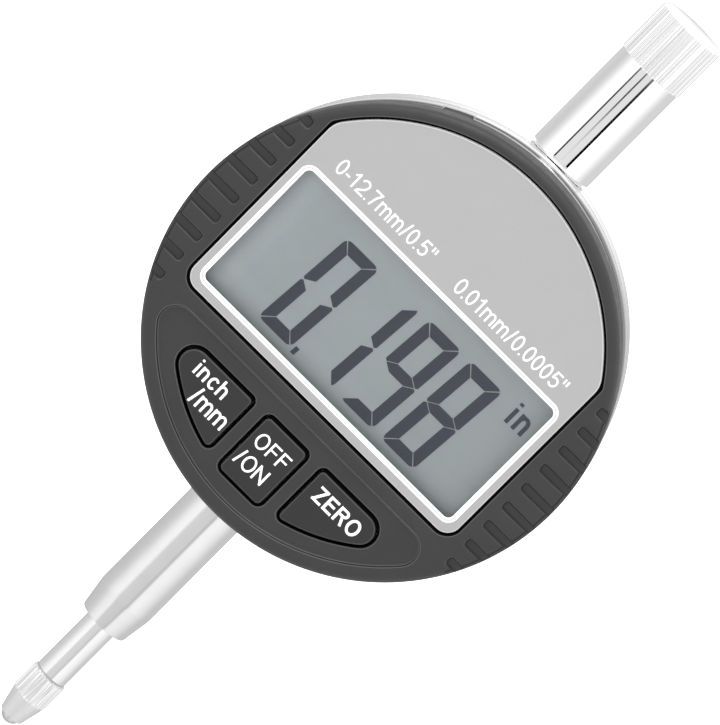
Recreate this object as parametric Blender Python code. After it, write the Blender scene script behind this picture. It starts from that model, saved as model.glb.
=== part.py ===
"""Digital dial indicator, 12.7 mm travel, as an assembly of separate pieces.

Metres, +Z up. The spindle runs along Z with its contact point down, and the display faces -Y.
The origin is on the spindle's axis, halfway along the part of the stem that a stand clamps.
The spindle is drawn 5.03 mm up from full reach, which is where the display's 0.198 in puts it.
"""

import math

import bmesh
import bpy
from mathutils import Matrix

MM = 0.001

# ---------------------------------------------------------------- driving dimensions
DIAL_Z = 38.5 * MM  # height of the dial's centre above the stem clamp
READING = 5.03 * MM  # how far the spindle is already pushed in

# The head. "Ahead" is the distance in front of the spindle's axis, towards the viewer.
BEZEL_R = 29.0 * MM
BEZEL_FACE = 17.3 * MM
BEZEL_REAR = 12.5 * MM
BEZEL_WALL = 2.2 * MM
BEZEL_CHAMFER = 1.1 * MM
SKIRT_R = 27.6 * MM  # spigot of the bezel inside the case
SKIRT_WALL = 1.2 * MM
SKIRT_REAR = 10.9 * MM
CASE_FRONT_R = 28.75 * MM
CASE_REAR_R = 27.6 * MM
CASE_STEP = 0.4 * MM  # ahead of the axis, where the case's radius steps down
CASE_INNER_R = 25.5 * MM
CASE_BACK = -5.0 * MM
LEDGE_R = 21.0 * MM
LEDGE_FRONT = 9.4 * MM
LEDGE_THICK = 1.2 * MM
BACK_COVER_R = 27.0 * MM
BACK_COVER_THICK = 1.35 * MM

# The face plate and what lies behind it
PLATE_R = 27.1 * MM
PLATE_SIDE = 22.4 * MM
PLATE_BOTTOM = -10.9 * MM
PLATE_THICK = 0.8 * MM
PLATE_FACE = 17.05 * MM
WINDOW_W, WINDOW_H, WINDOW_CORNER = 41.8 * MM, 18.6 * MM, 1.0 * MM
LENS_W, LENS_H, LENS_THICK = 44.2 * MM, 20.9 * MM, 1.0 * MM
LENS_FACE = 15.95 * MM
LCD_W, LCD_H, LCD_THICK = 44.4 * MM, 21.0 * MM, 2.0 * MM
LCD_FACE = 14.7 * MM
LCD_FRAME_W, LCD_FRAME_H = 46.2 * MM, 22.4 * MM
BOARD_FACE = 10.8 * MM
BOARD_THICK = 1.2 * MM
BOARD_R = 25.0 * MM

# The keys, in a lens-shaped hollow under the display
KEY_FIELD_R, KEY_FIELD_TOP, KEY_FIELD_CORNER = 26.9 * MM, -13.2 * MM, 2.4 * MM
KEY_FIELD_DEPTH = 0.4 * MM
KEY_R, KEY_TOP = 24.85 * MM, -15.17 * MM
KEY_GAP = 0.45 * MM
KEY_FACE = 17.35 * MM
KEY_FOOT = 13.9 * MM
KEY_TRAVEL = 0.5 * MM
SIDE_KEY_INNER, SIDE_KEY_END = 5.45 * MM, 2.4 * MM
MID_KEY_W, MID_KEY_BOTTOM = 7.5 * MM, -24.8 * MM
KEY_CENTRES = {"key_unit": (-10.6, -18.6), "key_power": (0.0, -20.0), "key_zero": (10.6, -18.6)}

GROOVE_COUNT, GROOVE_PITCH, GROOVE_W = 9, 3.22 * MM, 1.3 * MM
GROOVE_INNER, GROOVE_DEPTH, GROOVE_RAISE = 24.05 * MM, 0.6 * MM, 0.35 * MM

# The stem, the tube over the spindle's top, and the spindle. Heights are from the dial's centre.
STEM_R, STEM_TOP, STEM_CONE, STEM_END = 4.0 * MM, -24.0 * MM, -48.4 * MM, -52.5 * MM
SPINDLE_R, SPINDLE_TOP = 2.22 * MM, 41.8 * MM
BUSH_BORE_R = 2.28 * MM
NECK_R, NECK_BOTTOM, NECK_SHOULDER, NECK_TOP = 3.95 * MM, 23.5 * MM, 28.7 * MM, 33.2 * MM
THREAD_R = 3.55 * MM
TUBE_R, TUBE_BORE_R, TUBE_BOTTOM, TUBE_TOP = 4.5 * MM, 3.65 * MM, 28.82 * MM, 44.45 * MM
CAP_R, CAP_TOP, CAP_BORE_R = 4.65 * MM, 52.0 * MM, 2.75 * MM
CONTACT_R, CONTACT_TOP, CONTACT_CONE, CONTACT_END = 2.5 * MM, -62.1 * MM, -66.0 * MM, -69.35 * MM
BALL_R, TIP = 1.45 * MM, -70.4 * MM

# The carriage that the spindle drives inside the case
WASHER_THICK = 1.0 * MM
CARRIER_BOTTOM = STEM_TOP + WASHER_THICK + READING + 0.05 * MM
CARRIER_HEIGHT, CARRIER_W = 16.0 * MM, 10.0 * MM
CARRIER_FRONT, CARRIER_BACK = 6.0 * MM, -3.1 * MM
SPRING_X, SPRING_AHEAD = 10.5 * MM, 2.0 * MM
SPRING_ANCHOR_Z, SPRING_HOOK_Z = -20.6 * MM, -5.0 * MM
SPRING_PIN_R = 0.7 * MM

# The battery and the parts round the rim
BATTERY_R, BATTERY_THICK = 5.8 * MM, 5.4 * MM
BATTERY_X, BATTERY_Z = -12.6 * MM, 4.5 * MM
BATTERY_COVER_R = 7.0 * MM
LUG_HOLE_R, LUG_R, LUG_THICK, LUG_BEHIND = 3.25 * MM, 5.5 * MM, 5.0 * MM, 11.5 * MM
SCREW_PLACES = [(11.0, 19.9), (-11.0, 19.9), (-18.4, -13.4), (18.4, -13.4)]
BOARD_SCREW_PLACES = {"board_screw_left": (-19.9, 12.9), "board_screw_right": (19.9, 12.9)}
NOTCH_FROM, NOTCH_TO, NOTCH_REAR = 22.6, 31.0, 7.2 * MM  # first two: degrees left of the top
PORT_ANGLE, PORT_W, PORT_H = 47.6, 3.0 * MM, 3.2 * MM  # angle: degrees right of the top
PORT_AHEAD = 10.0 * MM

CLEAR = 0.05 * MM  # between faces that touch on the real object
GAP = 0.25 * MM  # visible gap round an inlaid piece
ROUND, FINE, COARSE = 60, 26, 12  # segments of large, middling and small round pieces
CUT = 6.0 * MM  # how far a cutter runs past what it cuts

# name: base colour, metallic, roughness
FINISHES = {
    "dark_plastic": ((0.075, 0.075, 0.08), 0.0, 0.5),
    "key_plastic": ((0.045, 0.045, 0.048), 0.0, 0.45),
    "silver_print": ((0.53, 0.52, 0.51), 0.35, 0.35),
    "clear_acrylic": ((0.9, 0.93, 0.93), 0.0, 0.05),
    "lcd_glass": ((0.34, 0.37, 0.38), 0.0, 0.2),
    "white_plastic": ((0.75, 0.75, 0.73), 0.0, 0.5),
    "zebra_rubber": ((0.25, 0.2, 0.2), 0.0, 0.8),
    "green_board": ((0.03, 0.16, 0.07), 0.0, 0.4),
    "black_resin": ((0.02, 0.02, 0.02), 0.0, 0.3),
    "grey_silicone": ((0.5, 0.5, 0.5), 0.0, 0.7),
    "chrome": ((0.82, 0.82, 0.83), 1.0, 0.12),
    "satin_steel": ((0.66, 0.66, 0.66), 1.0, 0.3),
    "bronze": ((0.6, 0.42, 0.22), 1.0, 0.35),
    "carbide": ((0.55, 0.55, 0.56), 1.0, 0.15),
    "spring_steel": ((0.5, 0.5, 0.52), 1.0, 0.3),
    "gold_contact": ((0.83, 0.66, 0.3), 1.0, 0.3),
    "nylon": ((0.85, 0.84, 0.8), 0.0, 0.5),
    "scale_glass": ((0.55, 0.45, 0.2), 0.2, 0.3),
}


# ---------------------------------------------------------------- scene and materials
def clear_scene():
    for obj in list(bpy.data.objects):
        bpy.data.objects.remove(obj, do_unlink=True)


def material(name):
    if name in bpy.data.materials:
        return bpy.data.materials[name]
    colour, metallic, roughness = FINISHES[name]
    made = bpy.data.materials.new(name)
    made.use_nodes = True
    shader = made.node_tree.nodes["Principled BSDF"]
    shader.inputs["Base Color"].default_value = (*colour, 1.0)
    shader.inputs["Metallic"].default_value = metallic
    shader.inputs["Roughness"].default_value = roughness
    return made


def empty(name, location=(0, 0, 0), rotation=(0, 0, 0)):
    made = bpy.data.objects.new(name, None)
    made.location = location
    made.rotation_euler = rotation
    bpy.context.scene.collection.objects.link(made)
    return made


def add(name, shape, finish, parent, location=(0, 0, 0), rotation=(0, 0, 0)):
    """Turns a bmesh into a named, shaded object."""
    bmesh.ops.recalc_face_normals(shape, faces=shape.faces)
    mesh = bpy.data.meshes.new(name)
    shape.to_mesh(mesh)
    shape.free()
    mesh.shade_smooth()
    mesh.set_sharp_from_angle(angle=math.radians(35))
    obj = bpy.data.objects.new(name, mesh)
    bpy.context.scene.collection.objects.link(obj)
    obj.parent = parent
    obj.location = location
    obj.rotation_euler = rotation
    mesh.materials.append(material(finish))
    return obj


def combine(obj, shape, operation="DIFFERENCE", location=(0, 0, 0), rotation=(0, 0, 0)):
    """Cuts a shape from an object, or joins it on. The shape is placed in the object's own frame."""
    label = f"{obj.name}_{operation.lower()}_{len(obj.modifiers)}"
    tool = add(label, shape, "dark_plastic", obj, location, rotation)
    tool.hide_render = True
    tool.display_type = "WIRE"
    modifier = obj.modifiers.new(label, "BOOLEAN")
    modifier.operation = operation
    modifier.object = tool
    modifier.solver = "EXACT"
    return obj


# ---------------------------------------------------------------- outlines and shapes
def arc(cx, cy, radius, start, end, steps=8):
    """Points along an arc, angles in degrees from +X, anticlockwise when end is larger."""
    points = []
    for i in range(steps + 1):
        angle = math.radians(start + (end - start) * i / steps)
        points.append((cx + radius * math.cos(angle), cy + radius * math.sin(angle)))
    return points


def rounded_box(width, height, corner, steps=4, centre=(0, 0)):
    x, y = width / 2 - corner, height / 2 - corner
    corners = [(x, y, 0), (-x, y, 90), (-x, -y, 180), (x, -y, 270)]
    points = []
    for cx, cy, start in corners:
        points += arc(centre[0] + cx, centre[1] + cy, corner, start, start + 90, steps)
    return points


def plate_outline(grow=0.0):
    """Flat-bottomed round plate: a wide arc on top, straight sides, rounded corners."""
    radius, side, bottom = PLATE_R + grow, PLATE_SIDE + grow, PLATE_BOTTOM - grow
    top_corner, low_corner = 2.0 * MM, 2.0 * MM + grow
    cx = side - top_corner
    cy = math.sqrt((radius - top_corner) ** 2 - cx**2)
    turn = math.degrees(math.atan2(cy, cx))
    low_y = bottom + low_corner
    return (
        arc(cx, cy, top_corner, 0, turn, 4)[:-1]
        + arc(0, 0, radius, turn, 180 - turn, 28)
        + arc(-cx, cy, top_corner, 180 - turn, 180, 4)[1:]
        + arc(-side + low_corner, low_y, low_corner, 180, 270, 4)
        + arc(side - low_corner, low_y, low_corner, 270, 360, 4)
    )


def key_field_outline():
    """Round segment under the display, with rounded upper corners."""
    radius, corner = KEY_FIELD_R, KEY_FIELD_CORNER
    cy = KEY_FIELD_TOP - corner
    cx = math.sqrt((radius - corner) ** 2 - cy**2)
    turn = math.degrees(math.atan2(cy, cx))
    return (
        arc(-cx, cy, corner, 90, 180 - turn, 6)[:-1]
        + arc(0, 0, radius, 180 - turn, 360 + turn, 24)
        + arc(cx, cy, corner, turn, 90, 6)[1:]
    )


def side_key_outline(side, grow=0.0):
    """Key beside the middle one: flat top, upright inner edge, and an arc that follows the dial."""
    radius, top, inner = KEY_R + grow, KEY_TOP + grow, SIDE_KEY_INNER - grow
    end, small = SIDE_KEY_END + grow, 1.0 * MM + grow
    end_y = top - end
    end_x = math.sqrt((radius - end) ** 2 - end_y**2)
    end_turn = math.degrees(math.atan2(end_y, end_x))
    low_x = inner + small
    low_y = -math.sqrt((radius - small) ** 2 - low_x**2)
    low_turn = math.degrees(math.atan2(low_y, low_x))
    points = (
        arc(low_x, top - small, small, 180, 90, 3)
        + arc(end_x, end_y, end, 90, end_turn, 6)
        + arc(0, 0, radius, end_turn, low_turn, 6)[1:-1]
        + arc(low_x, low_y, small, low_turn, -180, 4)
    )
    return [(side * x, y) for x, y in points]


def mid_key_outline(grow=0.0):
    height = KEY_TOP - MID_KEY_BOTTOM
    centre = (0, (KEY_TOP + MID_KEY_BOTTOM) / 2)
    return rounded_box(MID_KEY_W + 2 * grow, height + 2 * grow, 1.1 * MM + grow, 3, centre)


KEY_OUTLINES = {
    "key_unit": lambda grow=0.0: side_key_outline(-1, grow),
    "key_power": mid_key_outline,
    "key_zero": lambda grow=0.0: side_key_outline(1, grow),
}


def prism(outline, low, high, shape=None):
    """Outline in XY, extruded from low to high along Z. Adds to a shape when one is given."""
    shape = shape or bmesh.new()
    face = shape.faces.new([shape.verts.new((x, y, low)) for x, y in outline])
    grown = bmesh.ops.extrude_face_region(shape, geom=[face])
    tops = [v for v in grown["geom"] if isinstance(v, bmesh.types.BMVert)]
    bmesh.ops.translate(shape, verts=tops, vec=(0, 0, high - low))
    return shape


def box(x0, x1, y0, y1, z0, z1):
    return prism([(x0, y0), (x1, y0), (x1, y1), (x0, y1)], z0, z1)


def lathe(profile, segments=FINE, shape=None, centre=(0, 0)):
    """Turns a closed profile of (radius, height) points about Z. Points at radius 0 lie on the axis."""
    shape = shape or bmesh.new()
    verts = [shape.verts.new((centre[0] + r, centre[1], z)) for r, z in profile]
    edges = [shape.edges.new(pair) for pair in zip(verts, verts[1:] + verts[:1])]
    on_axis = [e for e in edges if all(abs(v.co.x - centre[0]) < 1e-9 for v in e.verts)]
    bmesh.ops.spin(
        shape,
        geom=verts + [e for e in edges if e not in on_axis],
        cent=(*centre, 0),
        axis=(0, 0, 1),
        angle=2 * math.pi,
        steps=segments,
        use_merge=True,
    )
    for edge in on_axis:
        if edge.is_valid and not edge.link_faces:
            shape.edges.remove(edge)
    bmesh.ops.remove_doubles(shape, verts=shape.verts, dist=1e-6)
    return shape


def rod(radius, low, high, segments=FINE, centre=(0, 0), shape=None):
    return lathe([(0, low), (radius, low), (radius, high), (0, high)], segments, shape, centre)


def pipe(outer, inner, low, high, segments=FINE):
    return lathe([(inner, low), (outer, low), (outer, high), (inner, high)], segments)


# ---------------------------------------------------------------- the head
def build_bezel(face):
    chamfer, inner = BEZEL_CHAMFER, SKIRT_R - SKIRT_WALL
    profile = [
        (0, BEZEL_FACE),
        (BEZEL_R - chamfer, BEZEL_FACE),
        (BEZEL_R - 0.45 * chamfer, BEZEL_FACE - 0.25 * chamfer),
        (BEZEL_R - 0.1 * chamfer, BEZEL_FACE - 0.65 * chamfer),
        (BEZEL_R, BEZEL_FACE - 1.3 * chamfer),
        (BEZEL_R, BEZEL_REAR),
        (SKIRT_R, BEZEL_REAR),
        (SKIRT_R, SKIRT_REAR),
        (inner, SKIRT_REAR),
        (inner, BEZEL_FACE - BEZEL_WALL),
        (0, BEZEL_FACE - BEZEL_WALL),
    ]
    bezel = add("front_bezel", lathe(profile, ROUND), "dark_plastic", face)
    bosses = bmesh.new()
    boss_low, boss_high = BOARD_FACE + 0.35 * MM, BEZEL_FACE - BEZEL_WALL / 2
    for x, y in SCREW_PLACES:
        rod(2.2 * MM, boss_low, boss_high, COARSE, (x * MM, y * MM), bosses)
    combine(bezel, bosses, "UNION")
    tongue_from, tongue_to = 90 + NOTCH_FROM + 0.6, 90 + NOTCH_TO - 0.6
    tongue = arc(0, 0, CASE_FRONT_R - 0.15 * MM, tongue_from, tongue_to, 4)
    tongue += arc(0, 0, SKIRT_R - 0.6 * MM, tongue_to, tongue_from, 4)
    combine(bezel, prism(tongue, NOTCH_REAR + 0.3 * MM, BEZEL_REAR + 0.6 * MM), "UNION")

    pilots = bmesh.new()
    for x, y in SCREW_PLACES:
        rod(0.8 * MM, 0, 14.6 * MM, COARSE, (x * MM, y * MM), pilots)
    combine(bezel, pilots)
    recess_floor = PLATE_FACE - PLATE_THICK - CLEAR
    combine(bezel, prism(plate_outline(GAP), recess_floor, BEZEL_FACE + CUT))
    lens_opening = rounded_box(LENS_W + 0.5 * MM, LENS_H + 0.5 * MM, 1.0 * MM, 2)
    combine(bezel, prism(lens_opening, 0, BEZEL_FACE + CUT))
    combine(bezel, prism(key_field_outline(), BEZEL_FACE - KEY_FIELD_DEPTH, BEZEL_FACE + CUT))
    holes = bmesh.new()
    for outline in KEY_OUTLINES.values():
        prism(outline(), 0, BEZEL_FACE + CUT, holes)
    combine(bezel, holes)
    combine(bezel, groove_cutters())
    port_half = PORT_W / 2 + 0.4 * MM
    port = box(-port_half, port_half, 0, BEZEL_R, 6 * MM, BEZEL_REAR - 0.4 * MM)
    combine(bezel, port, rotation=(0, 0, -math.radians(PORT_ANGLE)))


def groove_cutters():
    """Nine slots at each side, open to the rim, with round inner ends."""
    cutters = bmesh.new()
    half, floor = GROOVE_W / 2, BEZEL_FACE - GROOVE_DEPTH
    for side in (-1, 1):
        for i in range(GROOVE_COUNT):
            y = (i - (GROOVE_COUNT - 1) / 2) * GROOVE_PITCH + GROOVE_RAISE
            ends = arc(GROOVE_INNER + half, y, half, 270, 90, 4)
            outline = ends + [(BEZEL_R + CUT, y + half), (BEZEL_R + CUT, y - half)]
            prism([(side * px, py) for px, py in outline], floor, BEZEL_FACE + CUT, cutters)
    return cutters


def build_display(face):
    sheet = prism(plate_outline(), PLATE_FACE - PLATE_THICK, PLATE_FACE)
    plate = add("face_plate", sheet, "silver_print", face)
    window = rounded_box(WINDOW_W, WINDOW_H, WINDOW_CORNER)
    combine(plate, prism(window, 0, PLATE_FACE + CUT))
    lens_outline = rounded_box(LENS_W, LENS_H, 0.8 * MM, 2)
    lens = prism(lens_outline, LENS_FACE - LENS_THICK, LENS_FACE)
    add("window_lens", lens, "clear_acrylic", face)

    back = LCD_FACE - LCD_THICK
    split = back + 1.0 * MM
    half_w, half_h = LCD_W / 2, LCD_H / 2
    front_glass = box(-half_w, half_w, -half_h, half_h, split - 0.1 * MM, LCD_FACE)
    lcd = add("lcd_panel", front_glass, "lcd_glass", face)
    # The rear glass is shorter, so that the contact ledges show.
    rear_w, rear_h = half_w - 0.3 * MM, half_h - 2.2 * MM
    rear_glass = box(-rear_w, rear_w, -rear_h, rear_h, back, split + 0.2 * MM)
    combine(lcd, rear_glass, "UNION")

    frame_outline = rounded_box(LCD_FRAME_W, LCD_FRAME_H, 0.8 * MM, 2)
    frame = prism(frame_outline, BOARD_FACE + 0.1 * MM, LCD_FACE + 0.1 * MM)
    frame = add("lcd_frame", frame, "white_plastic", face)
    frame_opening = rounded_box(LCD_W + 0.3 * MM, LCD_H + 0.3 * MM, 0.3 * MM, 2)
    combine(frame, prism(frame_opening, 0, CUT + LCD_FACE))
    reach, half = 20.5 * MM, 0.6 * MM
    low, high = BOARD_FACE + CLEAR, split - 0.15 * MM
    strip_y = half_h - 1.1 * MM
    upper = box(-reach, reach, strip_y - half, strip_y + half, low, high)
    add("zebra_strip_upper", upper, "zebra_rubber", face)
    lower = box(-reach, reach, -strip_y - half, -strip_y + half, low, high)
    add("zebra_strip_lower", lower, "zebra_rubber", face)


def build_board(face):
    rear = BOARD_FACE - BOARD_THICK
    board = add("main_board", rod(BOARD_R, rear, BOARD_FACE, ROUND), "green_board", face)
    holes = bmesh.new()
    for x, y in SCREW_PLACES:
        rod(2.7 * MM, 0, 2 * BOARD_FACE, COARSE, (x * MM, y * MM), holes)
    for x, y in BOARD_SCREW_PLACES.values():
        rod(0.9 * MM, 0, 2 * BOARD_FACE, COARSE, (x * MM, y * MM), holes)
    combine(board, holes)
    dome = [(0, BOARD_FACE + CLEAR), (4.0 * MM, BOARD_FACE + CLEAR), (3.4 * MM, BOARD_FACE + 0.7 * MM)]
    dome += [(2.0 * MM, BOARD_FACE + 1.1 * MM), (0, BOARD_FACE + 1.2 * MM)]
    add("board_chip", lathe(dome, COARSE), "black_resin", face)
    for name, (x, y) in BOARD_SCREW_PLACES.items():
        head = BOARD_FACE + CLEAR
        foot = LEDGE_FRONT - LEDGE_THICK + 0.2 * MM
        profile = [(0, foot), (0.75 * MM, foot), (0.75 * MM, head), (1.4 * MM, head)]
        profile += [(1.4 * MM, head + 0.5 * MM), (1.0 * MM, head + 0.9 * MM), (0, head + 0.9 * MM)]
        screw = add(name, lathe(profile, COARSE), "satin_steel", face, (x * MM, y * MM, 0))
        cross_slots(screw, head + 0.55 * MM, 0.8 * MM, 0.3 * MM)
    terminal = box(-1.5 * MM, 1.5 * MM, 21.6 * MM, 24.6 * MM, BOARD_FACE + CLEAR, BOARD_FACE + 1.3 * MM)
    add("port_terminal", terminal, "gold_contact", face, rotation=(0, 0, -math.radians(PORT_ANGLE)))


def cross_slots(screw, floor, reach, width):
    """Cross recess in a screw head that faces +Z."""
    for turn in (0, 90):
        slot = box(-reach, reach, -width / 2, width / 2, floor, floor + 2 * MM)
        combine(screw, slot, rotation=(0, 0, math.radians(turn)))


def build_keys(face):
    """Keycaps with a retaining lip, over a silicone mat with a dome for each."""
    for name, outline in KEY_OUTLINES.items():
        lip_top = BEZEL_FACE - BEZEL_WALL - 0.3 * MM
        key = add(name, prism(outline(-KEY_GAP), KEY_FOOT + 0.1 * MM, KEY_FACE), "key_plastic", face)
        combine(key, prism(outline(0.5 * MM), KEY_FOOT, lip_top), "UNION")
    corner_x, top, radius = 16.0 * MM, -14.8 * MM, 24.4 * MM
    low = math.degrees(math.atan2(-math.sqrt(radius**2 - corner_x**2), corner_x))
    outline = [(-corner_x, top)] + arc(0, 0, radius, -180 - low, low, 12) + [(corner_x, top)]
    sheet = prism(outline, BOARD_FACE + 0.1 * MM, BOARD_FACE + 0.8 * MM)
    mat = add("keypad_mat", sheet, "grey_silicone", face)
    base, tip = BOARD_FACE + 0.4 * MM, KEY_FOOT - KEY_TRAVEL - 0.15 * MM
    domes = bmesh.new()
    for x, y in KEY_CENTRES.values():
        profile = [(0, base), (2.8 * MM, base), (2.4 * MM, base + 0.9 * MM), (1.6 * MM, tip), (0, tip)]
        lathe(profile, COARSE, domes, (x * MM, y * MM))
    combine(mat, domes, "UNION")


def build_case(face):
    counterbore = SKIRT_R + 0.2 * MM
    profile = [
        (counterbore, BEZEL_REAR - 0.1 * MM),
        (CASE_FRONT_R, BEZEL_REAR - 0.1 * MM),
        (CASE_FRONT_R, CASE_STEP + 0.3 * MM),
        (CASE_REAR_R, CASE_STEP - 0.3 * MM),
        (CASE_REAR_R, CASE_BACK + 0.8 * MM),
        (CASE_REAR_R - 0.8 * MM, CASE_BACK),
        (CASE_INNER_R, CASE_BACK),
        (CASE_INNER_R, LEDGE_FRONT - LEDGE_THICK),
        (LEDGE_R, LEDGE_FRONT - LEDGE_THICK),
        (LEDGE_R, LEDGE_FRONT),
        (CASE_INNER_R, LEDGE_FRONT),
        (CASE_INNER_R, SKIRT_REAR - 0.2 * MM),
        (counterbore, SKIRT_REAR - 0.2 * MM),
    ]
    case = add("case_body", lathe(profile, ROUND), "chrome", face)
    # The ledge stops short of the scale's path, above and below.
    low, high = LEDGE_FRONT - 2 * MM, LEDGE_FRONT + 0.6 * MM
    combine(case, box(-7.0 * MM, 7.0 * MM, -25.2 * MM, 25.2 * MM, low, high))
    stem_hole = rod(STEM_R + CLEAR, 0, 2 * CASE_REAR_R)
    combine(case, stem_hole, rotation=(math.radians(90), 0, 0))
    neck_hole = rod(NECK_R + CLEAR, 0, 2 * CASE_REAR_R)
    combine(case, neck_hole, rotation=(math.radians(-90), 0, 0))
    notch = arc(0, 0, CASE_FRONT_R + CUT, 90 + NOTCH_FROM, 90 + NOTCH_TO, 4)
    notch += arc(0, 0, CASE_INNER_R - 0.8 * MM, 90 + NOTCH_TO, 90 + NOTCH_FROM, 4)
    combine(case, prism(notch, NOTCH_REAR, BEZEL_REAR + CUT))
    low, high = PORT_AHEAD - PORT_H / 2, PORT_AHEAD + PORT_H / 2
    port = box(-PORT_W / 2, PORT_W / 2, 24.9 * MM, CASE_FRONT_R + CUT, low, high)
    combine(case, port, rotation=(0, 0, -math.radians(PORT_ANGLE)))
    holes = bmesh.new()
    for x, y in SCREW_PLACES:
        rod(1.2 * MM, -CUT, 2 * BEZEL_REAR, COARSE, (x * MM, y * MM), holes)
    for x, y in BOARD_SCREW_PLACES.values():
        rod(0.85 * MM, 0, 2 * BEZEL_REAR, COARSE, (x * MM, y * MM), holes)
    rod(SPRING_PIN_R + CLEAR, 0, 2 * BEZEL_REAR, COARSE, (SPRING_X, SPRING_ANCHOR_Z), holes)
    combine(case, holes)


def build_port_cover(face):
    """Plug in the rim over the data port, on a frame of its own that points out of the slot."""
    out = math.radians(PORT_ANGLE)
    reach = 27.9 * MM
    place = (reach * math.sin(out), reach * math.cos(out), PORT_AHEAD)
    slide = empty("port_cover_slide", place, (0, 0, -out))
    slide.parent = face
    half_w, half_h = PORT_W / 2 - 0.15 * MM, PORT_H / 2 - 0.15 * MM
    plug = box(-half_w, half_w, 0, CASE_FRONT_R - reach - 0.1 * MM, -half_h, half_h)
    cover = add("port_cover", plug, "dark_plastic", slide)
    combine(cover, box(-0.9 * MM, 0.9 * MM, CASE_FRONT_R - reach - 0.45 * MM, CUT, 0.5 * MM, 0.9 * MM))


def build_back(back):
    """Back cover, battery cover and screws.

    +Z of this frame points out of the back, +X to the viewer's left.
    """
    outer = -CASE_BACK + CLEAR + BACK_COVER_THICK
    inner = -CASE_BACK + CLEAR
    profile = [
        (0, outer),
        (BACK_COVER_R - 0.5 * MM, outer),
        (BACK_COVER_R, outer - 0.5 * MM),
        (BACK_COVER_R, inner),
        (CASE_INNER_R - 0.3 * MM, inner),
        (CASE_INNER_R - 0.3 * MM, inner - 0.85 * MM),
        (CASE_INNER_R - 1.1 * MM, inner - 0.85 * MM),
        (CASE_INNER_R - 1.1 * MM, inner),
        (0, inner),
    ]
    cover = add("back_cover", lathe(profile, ROUND), "chrome", back)
    lug_outline = arc(LUG_BEHIND, 0, LUG_R, -90, 90, 12)
    lug_outline += [(outer - 0.6 * MM, LUG_R), (outer - 0.6 * MM, -LUG_R)]
    lug = prism(lug_outline, -LUG_THICK / 2, LUG_THICK / 2)
    # The lug is drawn lying down, with its length along X, then stood up out of the cover.
    combine(cover, lug, "UNION", rotation=(0, math.radians(-90), 0))
    bolt_hole = rod(LUG_HOLE_R, -LUG_THICK, LUG_THICK, 24)
    combine(cover, bolt_hole, location=(0, 0, LUG_BEHIND), rotation=(0, math.radians(90), 0))

    holes = bmesh.new()
    for x, y in SCREW_PLACES:
        place = (-x * MM, y * MM)
        rod(1.2 * MM, 0, 2 * outer, COARSE, place, holes)
    combine(cover, holes)
    sinks = bmesh.new()
    for x, y in SCREW_PLACES:
        rod(2.15 * MM, outer - 0.8 * MM, 2 * outer, COARSE, (-x * MM, y * MM), sinks)
    combine(cover, sinks)
    combine(cover, rod(BATTERY_COVER_R + 0.2 * MM, 0, 2 * outer, FINE, (-BATTERY_X, BATTERY_Z)))
    for i, (x, y) in enumerate(SCREW_PLACES, 1):
        head = outer - 0.75 * MM
        profile = [(0, -14.2 * MM), (0.75 * MM, -14.2 * MM), (0.75 * MM, head), (1.95 * MM, head)]
        profile += [(1.95 * MM, outer - 0.2 * MM), (1.75 * MM, outer - CLEAR), (0, outer - CLEAR)]
        screw = add(f"case_screw_{i}", lathe(profile, COARSE), "satin_steel", back, (-x * MM, y * MM, 0))
        cross_slots(screw, outer - 0.45 * MM, 1.2 * MM, 0.4 * MM)

    slide = empty("battery_cover_slide", (-BATTERY_X, BATTERY_Z, outer))
    slide.parent = back
    disc = [(0, -1.15 * MM), (BATTERY_COVER_R, -1.15 * MM), (BATTERY_COVER_R, -0.3 * MM)]
    disc += [(BATTERY_COVER_R - 0.3 * MM, 0), (0, 0)]
    battery_cover = add("battery_cover", lathe(disc), "dark_plastic", slide)
    combine(battery_cover, box(-4.5 * MM, 4.5 * MM, -0.7 * MM, 0.7 * MM, -0.6 * MM, CUT))

    for z, name in ((12.8 * MM, "rail_screw_upper"), (-21.6 * MM, "rail_screw_lower")):
        combine(cover, rod(0.65 * MM, 0, inner + 0.9 * MM, COARSE, (0, z)))
        profile = [(0, 3.35 * MM), (1.1 * MM, 3.35 * MM), (1.1 * MM, 3.85 * MM), (0.55 * MM, 3.85 * MM)]
        profile += [(0.55 * MM, inner + 0.8 * MM), (0, inner + 0.8 * MM)]
        add(name, lathe(profile, COARSE), "satin_steel", back, (0, z, 0))
    rail = prism(rounded_box(7.0 * MM, 37.0 * MM, 1.0 * MM, 2, (0, -4.4 * MM)), 3.9 * MM, inner - CLEAR)
    rail = add("guide_rail", rail, "satin_steel", back)
    combine(rail, prism(rounded_box(1.8 * MM, 28.6 * MM, 0.8 * MM, 3, (0, -4.6 * MM)), 0, CUT))
    ends = rod(0.7 * MM, 0, CUT, COARSE, (0, 12.8 * MM))
    rod(0.7 * MM, 0, CUT, COARSE, (0, -21.6 * MM), ends)
    combine(rail, ends)


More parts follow.
